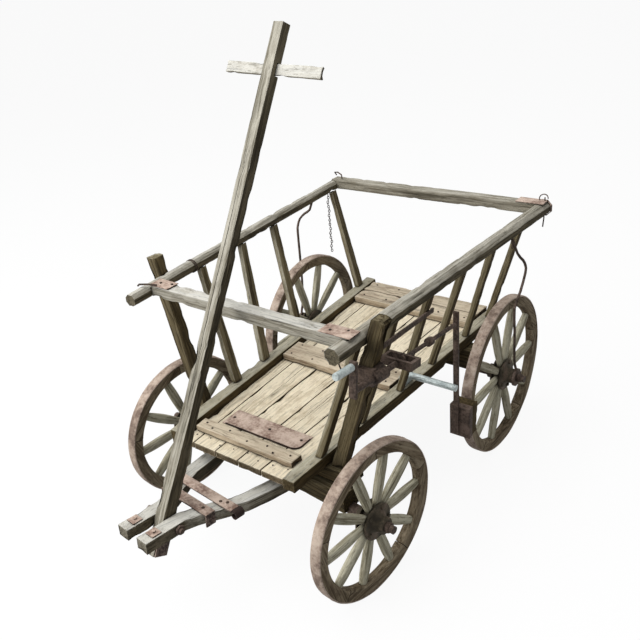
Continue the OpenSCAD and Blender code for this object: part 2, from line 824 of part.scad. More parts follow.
// Iron clip round the post's front, outer and rear faces, with the screw's sleeve outside it
module brake_bracket() {
    half = post_t / 2 + bracket_wall;
    inner_x = post_x(1, brake_z) - post_t / 2 + bracket_wall;
    color("#3d3531")
    difference() {
        union() {
            in_brake_line() y_rod(screw_r + bracket_wall + 2, -half, half);
            from_kingpin()
                translate([inner_x, -half, brake_z - bracket_h / 2])
                cube([brake_x() - inner_x, 2 * half, bracket_h]);
        }
        in_brake_line() y_rod(screw_r + pin_gap, -crank_y, crank_y);
        from_kingpin() corner_post_bar(1);
    }
}

// Open iron frame that holds the nut, ahead of the rod
module brake_yoke() {
    inside = [yoke_l - 2 * yoke_wall, yoke_d - 2 * yoke_wall, 2 * yoke_h];
    color("#3d3531")
    in_brake_line()
    translate([0, yoke_y, 0])
    difference() {
        cube([yoke_l, yoke_d, yoke_h], center = true);
        cube(inside, center = true);
        y_rod(screw_r + pin_gap, -yoke_d, 0);
        y_rod(rod_r + pin_gap, 0, yoke_d);
    }
}

// Rod from its head inside the yoke back to the lever
module brake_rod() {
    head_y = yoke_y + yoke_d / 2 - yoke_wall;
    lever_front = (lever_y - lever_t / 2) / cos(brake_fall);
    color("#54483f")
    in_brake_line()
    union() {
        y_rod(rod_r, head_y - yoke_wall, lever_front - 1);
        y_rod(rod_r + 4, head_y - yoke_wall, head_y - hub_gap);
        y_rod(sleeve_r, sleeve_y, sleeve_y + sleeve_l);
    }
}

// Flat bar that ties the corner post to a rung
module brake_guide_bar() {
    z0 = brake_z + guide_rise;
    z1 = brake_z + guide_t;
    foot = rung_foot(1, 2);
    head = rung_head(1, 2);
    rung_at = foot + (head - foot) * (z1 - foot[2]) / (head[2] - foot[2]);
    rung_out = rung_at + [(rung_t + guide_t) / 2, rung_w, 0];
    color("#54483f")
    from_kingpin()
    difference() {
        bar([post_x(1, z0), post_y(1, z0) + post_t / 2 - 2, z0], rung_out, guide_t, guide_w);
        corner_post_bar(1);
        rung(1, 2);
    }
}

// The lever's foot holds the block's iron shoe
module brake_lever() {
    head_z = brake_z - lever_y * tan(brake_fall) + lever_over;
    shoe_y = lever_y + lever_t / 2;
    color("#4b403a")
    from_kingpin()
    union() {
        translate([brake_x() - lever_w / 2, lever_y - lever_t / 2, block_foot + lever_t])
            cube([lever_w, lever_t, head_z - block_foot - lever_t]);
        translate([block_x, shoe_y, block_foot]) cube([block_w, block_front - shoe_y, block_h]);
    }
}

module brake_block()
    color("#6b5446")
    from_kingpin()
    translate([block_x, block_front, block_foot])
    cube([block_w, block_d, block_h]);

// Pipe across to the lever, in a small iron foot on the bottom rail
module brake_pivot() {
    rail_x = bottom_x(lever_y);
    pipe_y = lever_y - lever_t / 2 - pipe_r - pin_gap;
    foot_l = 5 * pipe_r;
    color("#9aa4a8")
    from_kingpin()
    union() {
        translate([0, pipe_y, bed_z + pivot_over_bed])
            x_rod(pipe_r, rail_x - pipe_r, brake_x() + lever_w / 2);
        translate([rail_x - pipe_r, pipe_y - foot_l / 2, bed_z + left_rail_h])
            cube([2 * pipe_r, foot_l, pivot_over_bed - left_rail_h]);
    }
}

// ---- Front axle and fork ----

module front_axle_bed()
    color("#5f5647")
    difference() {
        steered()
            translate([-axle_bed_half, -beam_w / 2, front_wheel_r])
            cube([2 * axle_bed_half, beam_w, front_bed_top - front_wheel_r]);
        steered() translate([0, 0, front_wheel_r])
            x_bar(axle_bar, axle_bar, -axle_bed_half - 1, axle_bed_half + 1);
        kingpin_hole();
        for (side = [1, -1]) fork_arm_shape(side);
    }

module kingpin_hole()
    from_kingpin()
    translate([0, 0, front_wheel_r - axle_bar])
    cylinder(r = kingpin_r + running_gap, h = bed_over_axle + axle_bar);

module front_axle()
    color("#3f3733")
    difference() {
        steered() translate([0, 0, front_wheel_r]) union() axle(front_half_track);
        kingpin_hole();
    }

module turning_plate()
    color("#4a403a")
    difference() {
        from_kingpin() translate([0, 0, front_bed_top])
            cylinder(r = turning_plate_r, h = turning_plate_t);
        kingpin_hole();
    }

// Outline of an arm's middle: [half spacing, y, half width]
function arm_stations() =
    let (tip_x = pole_w / 2 + pole_gap + arm_tip_w / 2)
    [[tip_x, -fork_front, arm_tip_w / 2], [tip_x, -fork_front + 120, arm_tip_w / 2],
     [tip_x + 8, -fork_front + 150, arm_w / 2], [tip_x + 26, -fork_front + 190, arm_w / 2],
     [arm_half_rear - 38, -fork_front + 235, arm_w / 2],
     [arm_half_rear - 22, -fork_front + 275, arm_w / 2],
     [arm_half_rear - 8, -fork_front + 350, arm_w / 2],
     [arm_half_rear, -fork_front + 430, arm_w / 2], [arm_half_rear, fork_rear, arm_w / 2]];

module fork_arm_shape(side) {
    s = arm_stations();
    n = len(s);
    in_fork() on_side(side)
    translate([0, 0, -arm_h / 2])
    linear_extrude(arm_h)
    polygon(concat([for (p = s) [p[0] - p[2], p[1]]],
                   [for (i = [n - 1 : -1 : 0]) [s[i][0] + s[i][2], s[i][1]]]));
}

module fork_arm(side)
    color("#9b978a")
    difference() {
        fork_arm_shape(side);
        in_fork() translate([0, -pin_reach, 0]) x_rod(pin_r, -fork_front, fork_front);
    }

// Half the spread of the fork's outer faces at y
function arm_outer(y) =
    lookup(y, [for (p = arm_stations()) [p[1], p[0] + p[2]]]);

// Flat bar over both arms, turned down over their outer sides
module fork_strap_front() {
    y = -front_strap_y;
    half = arm_outer(y + fork_strap_w / 2) + 0.5;
    t = fork_strap_t;
    color("#8a5c4b")
    in_fork() {
        translate([-half - t, y - fork_strap_w / 2, arm_h / 2])
            cube([2 * half + 2 * t, fork_strap_w, t]);
        for (side = [1, -1]) on_side(side)
            translate([half, y - fork_strap_w / 2, -arm_h / 2])
            cube([t, fork_strap_w, arm_h + overlap]);
    }
}

module fork_strap_rear() {
    y = -rear_strap_y;
    half = arm_outer(y) + fork_strap_w * 0.7;
    color("#8a5c4b")
    in_fork()
    translate([-half, y - fork_strap_w / 2, arm_h / 2])
    cube([2 * half, fork_strap_w, fork_strap_t]);
}

// A square washer with a bolt's head on each arm's front end
module fork_tip_washers() {
    s = arm_stations();
    color("#8a5c4b")
    in_fork()
    for (side = [1, -1]) on_side(side)
        translate([s[0][0], washer_y - fork_front, arm_h / 2])
        union() {
            translate([-washer_w / 2, -washer_w / 2, 0]) cube([washer_w, washer_w, washer_t]);
            cylinder(r = washer_w / 5, h = 2.5 * washer_t, $fn = 6);
        }
}

// Bolt through both arms and the pole, with a head and a nut
module drawbar_pin() {
    half = pole_w / 2 + pole_gap + arm_tip_w;
    color("#4a403a")
    in_fork()
    translate([0, -pin_reach, 0])
    union() {
        x_rod(pin_r, -half - pin_r, half + 2 * pin_r);
        for (x = [-half - pin_r, half])
            translate([x, 0, 0]) rotate([0, 90, 0]) cylinder(r = 2 * pin_r, h = pin_r, $fn = 6);
    }
}

// ---- Drawbar ----

// The handle lies in the back of the pole, flush with it
module handle_board()
    translate([-handle_l / 2, pole_top_d / 2 - handle_t, handle_up - handle_h / 2])
    cube([handle_l, handle_t, handle_h]);

module drawbar_pole()
    color("#a3a094")
    in_pole()
    difference() {
        intersection() {
            // Front view
            rotate([90, 0, 0])
                linear_extrude(2 * pole_d, center = true)
                polygon([[-pole_w / 2, -pole_down], [pole_w / 2, -pole_down],
                         [pole_top_w / 2, pole_up], [-pole_top_w / 2, pole_up]]);
            // Side view
            upright_board(2 * pole_w)
                polygon([[-pole_d / 2, -pole_down], [pole_d / 2, -pole_down],
                         [pole_top_d / 2, pole_swell], [pole_top_d / 2, pole_up],
                         [-pole_top_d / 2, pole_up], [-pole_top_d / 2, pole_swell]]);
        }
        handle_board();
        x_rod(pin_r + running_gap, -pole_w, pole_w);
        // Cheeks let in for the iron plates
        for (side = [1, -1]) on_side(side)
            translate([pole_w / 2 - strap_t, -pole_w, -pole_down - overlap])
            cube([pole_w, 2 * pole_w, cheek_l + overlap]);
    }

module drawbar_handle()
    color("#a3a094") in_pole() handle_board();

// Iron cheeks on the pole's foot
module drawbar_irons() {
    w = pole_d * 0.85;
    color("#6d4a3e")
    in_pole()
    for (side = [1, -1]) on_side(side)
        translate([pole_w / 2 - strap_t, -w / 2, -pole_down])
        cube([strap_t, w, cheek_l]);
}

// ---- Wheels: the wheel's middle at the origin, outwards +X ----

module ring_solid(r_out, r_in, w)
    rotate([0, 90, 0])
    difference() {
        translate([0, 0, -w / 2]) cylinder(r = r_out, h = w, $fn = 128);
        translate([0, 0, -w]) cylinder(r = r_in, h = 2 * w, $fn = 128);
    }

module wheel_tyre(r)
    color("#8a6f62") ring_solid(r, r - tyre_t, tyre_w);

module wheel_rim(r)
    color("#6f5c48") ring_solid(r - tyre_t, r - tyre_t - rim_t, rim_w);

module hub_core(w)
    x_rod(hub_core_r, -w, w);

module wheel_spokes(r)
    color("#857d68")
    for (i = [0 : spoke_count - 1])
        rotate([360 * (i + 0.5) / spoke_count, 0, 0])
        difference() {
            translate([0, 0, hub_core_r - 8])
                cylinder(d = spoke_d, h = r - tyre_t - rim_t - hub_core_r + 14);
            hub_core(spoke_d);
            wheel_rim(r);
        }

module wheel_hub()
    color("#4a423d")
    difference() {
        union() {
            hub_core(flange_in);
            for (end = [1, -1]) on_side(end)
                x_rod(hub_flange_r, flange_in, flange_in + hub_flange_t);
            x_rod(hub_nose_r, -hub_tail_in, hub_nose_out);
        }
        x_rod(spindle_r + running_gap, -hub_tail_in - overlap, hub_nose_out + overlap);
    }

module front_wheel(side)
    steered() on_side(side) translate([front_half_track, 0, front_wheel_r]) children();

module rear_wheel(side)
    from_kingpin() on_side(side)
    translate([rear_half_track, wheelbase, rear_wheel_r]) children();

floor_planks();
front_batten();
middle_batten();
rear_battens();
floor_plate();
bottom_rail(1);  // bottom_rail_left
bottom_rail(-1);  // bottom_rail_right
top_rail(1);  // top_rail_left
top_rail(-1);  // top_rail_right
rungs(1);  // rungs_left
rungs(-1);  // rungs_right
corner_post(1);  // corner_post_left
corner_post(-1);  // corner_post_right
front_crossbar();
front_corner_plates();
rear_crossbar();
rear_corner_strap();
bolster();
kingpin();
reach();
rear_axle_bed();
rear_axle();
rear_stay(1);  // rear_stay_left
rear_stay(-1);  // rear_stay_right
brake_crank();
brake_bracket();
brake_yoke();
brake_rod();
brake_guide_bar();
brake_lever();
brake_pivot();
brake_block();
front_axle_bed();
front_axle();
turning_plate();
fork_arm(1);  // fork_arm_left
fork_arm(-1);  // fork_arm_right
fork_strap_front();
fork_strap_rear();
fork_tip_washers();
drawbar_pin();
drawbar_pole();
drawbar_handle();
drawbar_irons();
front_wheel(1) wheel_tyre(front_wheel_r);  // front_left_tyre
front_wheel(1) wheel_rim(front_wheel_r);  // front_left_rim
front_wheel(1) wheel_spokes(front_wheel_r);  // front_left_spokes
front_wheel(1) wheel_hub();  // front_left_hub
front_wheel(-1) wheel_tyre(front_wheel_r);  // front_right_tyre
front_wheel(-1) wheel_rim(front_wheel_r);  // front_right_rim
front_wheel(-1) wheel_spokes(front_wheel_r);  // front_right_spokes
front_wheel(-1) wheel_hub();  // front_right_hub
rear_wheel(1) wheel_tyre(rear_wheel_r);  // rear_left_tyre
rear_wheel(1) wheel_rim(rear_wheel_r);  // rear_left_rim
rear_wheel(1) wheel_spokes(rear_wheel_r);  // rear_left_spokes
rear_wheel(1) wheel_hub();  // rear_left_hub
rear_wheel(-1) wheel_tyre(rear_wheel_r);  // rear_right_tyre
rear_wheel(-1) wheel_rim(rear_wheel_r);  // rear_right_rim
rear_wheel(-1) wheel_spokes(rear_wheel_r);  // rear_right_spokes
rear_wheel(-1) wheel_hub();  // rear_right_hub
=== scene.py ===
"""Weathered wooden ladder handcart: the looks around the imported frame.

Metres. The front is -Y, the cart's left side is +X and up is +Z.
"""

import json
import math

import bmesh
import bpy
from mathutils import Matrix, Vector, noise

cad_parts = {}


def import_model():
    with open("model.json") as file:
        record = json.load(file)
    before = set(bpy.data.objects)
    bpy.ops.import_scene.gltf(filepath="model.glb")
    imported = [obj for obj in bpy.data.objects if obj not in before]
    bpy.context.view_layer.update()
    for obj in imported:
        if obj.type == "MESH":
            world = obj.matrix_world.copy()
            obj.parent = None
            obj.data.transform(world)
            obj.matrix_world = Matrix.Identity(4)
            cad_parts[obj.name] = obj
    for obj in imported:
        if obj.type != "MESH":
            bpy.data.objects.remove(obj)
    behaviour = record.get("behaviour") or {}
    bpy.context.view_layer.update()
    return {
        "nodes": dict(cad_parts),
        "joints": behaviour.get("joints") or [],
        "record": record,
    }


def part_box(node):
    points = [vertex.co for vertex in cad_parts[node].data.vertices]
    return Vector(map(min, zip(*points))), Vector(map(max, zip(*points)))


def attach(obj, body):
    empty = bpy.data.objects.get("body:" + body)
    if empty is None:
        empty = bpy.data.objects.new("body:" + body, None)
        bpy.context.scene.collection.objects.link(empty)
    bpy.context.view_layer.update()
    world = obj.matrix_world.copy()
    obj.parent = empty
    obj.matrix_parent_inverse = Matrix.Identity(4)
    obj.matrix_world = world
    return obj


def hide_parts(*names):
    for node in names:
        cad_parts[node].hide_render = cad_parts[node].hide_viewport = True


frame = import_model()

NODES = frame["nodes"]
SLOT = {part["node"]: part["material_slot"] for part in frame["record"]["subparts"]}
BODIES = frame["record"]["behaviour"]["bodies"]
BODY = {node: body for body, nodes in BODIES.items() for node in nodes}
JOINT = {joint["name"]: joint for joint in frame["joints"]}
X, Y, Z = Vector((1, 0, 0)), Vector((0, 1, 0)), Vector((0, 0, 1))

WELD = 1e-5  # Places closer than this are one
FLAT = math.radians(0.5)  # Faces that meet at less than this are one
FEATURE = math.radians(25)  # Edges that bend more than this are worn round
SHARP = math.radians(40)  # Edges that bend more than this are shaded sharp
SAME_WAY = 0.995  # The cosine above which two directions are one


# ---- Shader nodes ----

class Shader:
    """A material's node tree, with short calls that return sockets."""

    def __init__(self, name):
        self.material = bpy.data.materials.new(name)
        self.material.use_nodes = True
        self.tree = self.material.node_tree
        self.tree.nodes.clear()
        self.surface = self.node("ShaderNodeBsdfPrincipled")
        out = self.node("ShaderNodeOutputMaterial")
        self.tree.links.new(self.surface.outputs[0], out.inputs["Surface"])

    def node(self, kind, **settings):
        made = self.tree.nodes.new(kind)
        for key, value in settings.items():
            setattr(made, key, value)
        return made

    def plug(self, node, key, value):
        """Links an input to a socket, or sets it to a value."""
        if isinstance(value, bpy.types.NodeSocket):
            self.tree.links.new(value, node.inputs[key])
        else:
            node.inputs[key].default_value = value

    def math(self, operation, *values):
        made = self.node("ShaderNodeMath", operation=operation)
        for i, value in enumerate(values):
            self.plug(made, i, value)
        return made.outputs[0]

    def times(self, a, b):
        return self.math("MULTIPLY", a, b)

    def flipped(self, value):
        """1 less the value."""
        return self.math("SUBTRACT", 1.0, value)

    def total(self, *parts, start=0.0):
        """The start plus each value times its weight."""
        for value, weight in parts:
            start = self.math("MULTIPLY_ADD", value, weight, start)
        return start

    def attribute(self, name, output="Fac"):
        return self.node("ShaderNodeAttribute", attribute_name=name).outputs[output]

    def place(self):
        return self.node("ShaderNodeTexCoord").outputs["Object"]

    def noise(self, place, scale, detail=3.0, roughness=0.55):
        """Noise from 0 to 1, with one scale for each axis of place, in waves a metre."""
        stretch = self.node("ShaderNodeVectorMath", operation="MULTIPLY")
        self.plug(stretch, 0, place)
        self.plug(stretch, 1, scale)
        made = self.node("ShaderNodeTexNoise")
        self.plug(made, "Vector", stretch.outputs[0])
        self.plug(made, "Scale", 1.0)
        self.plug(made, "Detail", detail)
        self.plug(made, "Roughness", roughness)
        return made.outputs["Fac"]

    def span(self, value, low, high):
        """value, stretched from low..high to 0..1."""
        made = self.node("ShaderNodeMapRange", interpolation_type="SMOOTHSTEP")
        self.plug(made, "Value", value)
        self.plug(made, "From Min", low)
        self.plug(made, "From Max", high)
        return made.outputs[0]

    def ramp(self, value, *colours):
        """Colours evenly spaced over 0..1."""
        made = self.node("ShaderNodeValToRGB")
        elements = made.color_ramp.elements
        while len(elements) < len(colours):
            elements.new(0.5)
        for i, colour in enumerate(colours):
            elements[i].position = i / (len(colours) - 1)
            elements[i].color = (*colour, 1)
        self.plug(made, "Fac", value)
        return made.outputs["Color"]

    def mix(self, share, a, b):
        """Colour a turned into b by share."""
        made = self.node("ShaderNodeMix", data_type="RGBA")
        self.plug(made, "Factor", share)
        for key, value in (("A", a), ("B", b)):
            socket = next(s for s in made.inputs if s.name == key and s.type == "RGBA")
            if isinstance(value, bpy.types.NodeSocket):
                self.tree.links.new(value, socket)
            else:
                socket.default_value = (*value, 1)
        return next(s for s in made.outputs if s.type == "RGBA")

    def cover(self, colour, where, strength, over):
        """A colour covered by another, where and as strongly as told."""
        return self.mix(self.times(where, strength), colour, over)

    def corners(self, reach, low, high):
        """1 where surfaces meet and 0 in the open, from how much is shut off within reach: a mask
        for painted shade.
        """
        made = self.node("ShaderNodeAmbientOcclusion", samples=6)
        self.plug(made, "Distance", reach)
        return self.flipped(self.span(made.outputs["AO"], low, high))

    def finish(self, colour, roughness, height, depth, metallic=0.0, specular=0.3):
        """The material, with a bump of this depth in metres from the height."""
        self.plug(self.surface, "Base Color", colour)
        self.plug(self.surface, "Roughness", roughness)
        self.plug(self.surface, "Metallic", metallic)
        self.plug(self.surface, "Specular IOR Level", specular)
        bump = self.node("ShaderNodeBump")
        self.plug(bump, "Strength", 0.8)
        self.plug(bump, "Distance", depth)
        self.plug(bump, "Height", height)
        self.plug(self.surface, "Normal", bump.outputs[0])
        return self.material


def scaled(colour, share):
    return tuple(share * c for c in colour)


def shades(s, tone, colour, low, high):
    """A ramp over the tone, from low times a colour to high times it, by way of the colour."""
    return s.ramp(tone, scaled(colour, low), colour, scaled(colour, high))


def wood_cracks(s, grain, cracked):
    """1 in cracks, which follow the contour of a stretched noise here and there: in more
    places as cracked goes from 0 to 1."""
    contour = s.math("ABSOLUTE", s.math("SUBTRACT", s.noise(grain, (1.5, 70, 70)), 0.5))
    line = s.flipped(s.span(contour, 0.002, 0.016))
    least = 0.66 - 0.25 * cracked
    where = s.span(s.noise(grain, (4, 26, 26), 2), least, least + 0.14)
    return s.times(line, where)


def wood_material(name, sheltered_and_painted_shade, dark, mid, light, pale, stain, stained, cracked=0.5,
                  shelter_and_painted_shade=(0.1, 0.5), bleaching_and_painted_light=(0.62, 0.95)):
    """Weathered wood: bleached where sun and rain reach it and brown where they don't, with
    painted light on faces turned up and to the front and painted shade on the others, fibres,
    streaks and cracks along the grain, and painted shade in the corners."""
    s = Shader(name)
    grain = s.attribute("grain", "Vector")
    wear, end, weather_and_painted_light = s.attribute("wear"), s.attribute("end"), s.attribute("weather_and_painted_light")
    fibre = s.noise(grain, (14, 620, 620), 4, 0.62)
    streak = s.noise(grain, (6, 150, 150), 5, 0.68)
    broad = s.noise(grain, (3.5, 18, 18))
    blotch = s.noise(grain, (14, 24, 24), 5, 0.72)
    speck = s.noise(grain, (42, 190, 190), 3, 0.65)
    crack = wood_cracks(s, grain, cracked)
    tone = s.span(s.total((fibre, 0.5), (streak, 1.0), (broad, 0.5)), 0.72, 1.24)
    # Painted light and shade: faces turned up, to the front and to the right take the open colours,
    # the rest the dark sheltered colour, partly real shelter and partly painted shade
    weathering_and_painted_light = s.total((weather_and_painted_light, 1.0), (broad, 0.5), (fibre, 0.35), start=-0.425)
    colour = s.mix(s.span(weathering_and_painted_light, *shelter_and_painted_shade), shades(s, tone, sheltered_and_painted_shade, 0.35, 2.2),
                   s.ramp(tone, dark, mid, light))
    # Pale bleached tops, which are also painted light
    colour = s.cover(colour, s.span(weathering_and_painted_light, *bleaching_and_painted_light), 0.85,
                     s.ramp(tone, scaled(pale, 0.42), scaled(pale, 0.82), pale))
    colour = s.cover(colour, s.span(blotch, 0.48, 0.66), stained, stain)
    colour = s.cover(colour, s.span(speck, 0.56, 0.68), 0.6, scaled(dark, 0.55))
    rubbed = s.times(s.times(wear, s.span(streak, 0.35, 0.6)), s.span(weather_and_painted_light, 0.1, 0.7))
    colour = s.cover(colour, rubbed, 0.5, light)
    sawn_end = s.times(end, s.flipped(s.span(weather_and_painted_light, 0.45, 0.75)))
    colour = s.cover(colour, sawn_end, 0.92, shades(s, tone, sheltered_and_painted_shade, 0.5, 2.0))
    # Dark dirt for the cracks, and painted shade for the corners
    crack_dirt_and_painted_shade = scaled(sheltered_and_painted_shade, 0.3)
    colour = s.cover(colour, crack, 0.85, crack_dirt_and_painted_shade)
    # Painted shade where surfaces meet
    colour = s.cover(colour, s.corners(0.016, 0.25, 0.75), 0.8, crack_dirt_and_painted_shade)
    height = s.total((fibre, 0.5), (streak, 1.0), (crack, -1.6))
    roughness = s.total((fibre, 0.22), start=0.74)
    return s.finish(colour, roughness, height, 0.0014, specular=0.12)


def rust_material(name, sheltered_and_painted_shade, dark, mid, bright, bare=0.3, metallic=0.1, shelter_and_painted_shade=(0.15, 0.75)):
    """Rusty iron: dull pale rust in the open and dark in shelter, which also paints light and
    shade by the way each face points, with scale, pits, rubbed edges and painted shade in the
    corners."""
    s = Shader(name)
    place = s.place()
    wear, weather_and_painted_light = s.attribute("wear"), s.attribute("weather_and_painted_light")
    cloud = s.noise(place, (22, 22, 22), 4, 0.6)
    scale = s.noise(place, (130, 130, 130), 5, 0.6)
    pits = s.noise(place, (700, 700, 700), 3, 0.6)
    spots = s.span(s.noise(place, (260, 260, 260), 3, 0.6), 0.62, 0.72)
    tone = s.span(s.total((cloud, 1.05), (scale, 0.5), (pits, 0.25)), 0.66, 1.14)
    # Painted light and shade: faces turned up, to the front and to the right take the open rust,
    # the rest the dark sheltered colour, partly real shelter and partly painted shade
    weathering_and_painted_light = s.total((weather_and_painted_light, 1.0), (cloud, 0.3), start=-0.15)
    colour = s.mix(s.span(weathering_and_painted_light, *shelter_and_painted_shade), shades(s, tone, sheltered_and_painted_shade, 0.5, 2.0),
                   s.ramp(tone, dark, mid, bright))
    rubbed = s.times(wear, s.span(scale, 0.4, 0.62))
    colour = s.cover(colour, rubbed, bare, scaled(bright, 0.9))
    colour = s.cover(colour, spots, 0.6, scaled(dark, 0.5))
    # Painted shade where surfaces meet
    colour = s.cover(colour, s.corners(0.014, 0.25, 0.8), 0.75, scaled(sheltered_and_painted_shade, 0.5))
    height = s.total((scale, 1.0), (pits, 0.4))
    roughness = s.total((scale, 0.3), start=0.62)
    return s.finish(colour, roughness, height, 0.0005, metallic)


def zinc_material(name):
    """Dull galvanised iron with rust spots."""
    s = Shader(name)
    place = s.place()
    spangle = s.noise(place, (90, 90, 90), 4, 0.6)
    spots = s.span(s.noise(place, (60, 60, 60), 5, 0.7), 0.62, 0.72)
    colour = s.ramp(s.span(spangle, 0.3, 0.7), (0.26, 0.30, 0.30), (0.39, 0.44, 0.43),
                    (0.52, 0.57, 0.56))
    colour = s.cover(colour, spots, 0.6, (0.16, 0.085, 0.05))
    roughness = s.total((spots, 0.4), start=0.42)
    return s.finish(colour, roughness, spangle, 0.0003, metallic=0.3)


# The first colour of each wood is that of sheltered wood and also its painted shade
WOODS = {
    "silvered_wood": dict(
        sheltered_and_painted_shade=(0.072, 0.06, 0.038), dark=(0.10, 0.088, 0.06), mid=(0.27, 0.25, 0.2),
        light=(0.43, 0.405, 0.34), pale=(0.74, 0.73, 0.68), stain=(0.15, 0.125, 0.085),
        stained=0.5),
    "floor_wood": dict(
        sheltered_and_painted_shade=(0.06, 0.042, 0.022), dark=(0.3, 0.235, 0.145), mid=(0.55, 0.455, 0.31),
        light=(0.72, 0.63, 0.47), pale=(0.88, 0.79, 0.61), stain=(0.34, 0.255, 0.15),
        stained=0.6, cracked=0.45),
    "batten_wood": dict(
        sheltered_and_painted_shade=(0.07, 0.05, 0.032), dark=(0.17, 0.125, 0.08), mid=(0.36, 0.29, 0.2),
        light=(0.52, 0.435, 0.32), pale=(0.66, 0.57, 0.43), stain=(0.2, 0.13, 0.085),
        stained=0.55),
    "dark_wood": dict(
        sheltered_and_painted_shade=(0.048, 0.034, 0.015), dark=(0.04, 0.029, 0.014), mid=(0.11, 0.085, 0.042),
        light=(0.23, 0.195, 0.12), pale=(0.58, 0.55, 0.44), stain=(0.05, 0.036, 0.02),
        stained=0.45, shelter_and_painted_shade=(0.22, 0.85), bleaching_and_painted_light=(0.72, 1.0)),
    "felloe_wood": dict(
        sheltered_and_painted_shade=(0.06, 0.045, 0.026), dark=(0.05, 0.037, 0.022), mid=(0.18, 0.138, 0.088),
        light=(0.32, 0.265, 0.185), pale=(0.4, 0.35, 0.28), stain=(0.07, 0.045, 0.026),
        stained=0.5, cracked=0.3),
    "spoke_wood": dict(
        sheltered_and_painted_shade=(0.1, 0.085, 0.055), dark=(0.15, 0.13, 0.085), mid=(0.42, 0.39, 0.285),
        light=(0.62, 0.59, 0.46), pale=(0.6, 0.58, 0.48), stain=(0.17, 0.135, 0.08),
        stained=0.35, cracked=0.3, shelter_and_painted_shade=(0.0, 0.4)),
}
# The first colour of each iron is that of sheltered rust and also its painted shade
IRONS = {
    "tyre_iron": dict(
        sheltered_and_painted_shade=(0.06, 0.042, 0.032), dark=(0.15, 0.105, 0.08), mid=(0.35, 0.27, 0.215),
        bright=(0.5, 0.41, 0.335), bare=0.5, shelter_and_painted_shade=(0.0, 0.35)),
    "hub_iron": dict(
        sheltered_and_painted_shade=(0.03, 0.024, 0.015), dark=(0.032, 0.025, 0.015), mid=(0.085, 0.068, 0.044),
        bright=(0.17, 0.12, 0.09), metallic=0.25),
    "rusty_strap_iron": dict(
        sheltered_and_painted_shade=(0.028, 0.014, 0.01), dark=(0.19, 0.115, 0.085), mid=(0.41, 0.31, 0.25),
        bright=(0.58, 0.46, 0.38)),
    "dark_iron": dict(
        sheltered_and_painted_shade=(0.04, 0.026, 0.018), dark=(0.03, 0.02, 0.014), mid=(0.085, 0.057, 0.042),
        bright=(0.19, 0.14, 0.115), metallic=0.2),
}
MATERIALS = {name: wood_material(name, **looks) for name, looks in WOODS.items()}
MATERIALS.update({name: rust_material(name, **looks) for name, looks in IRONS.items()})
MATERIALS["galvanised_iron"] = zinc_material("galvanised_iron")


# ---- Shapes ----

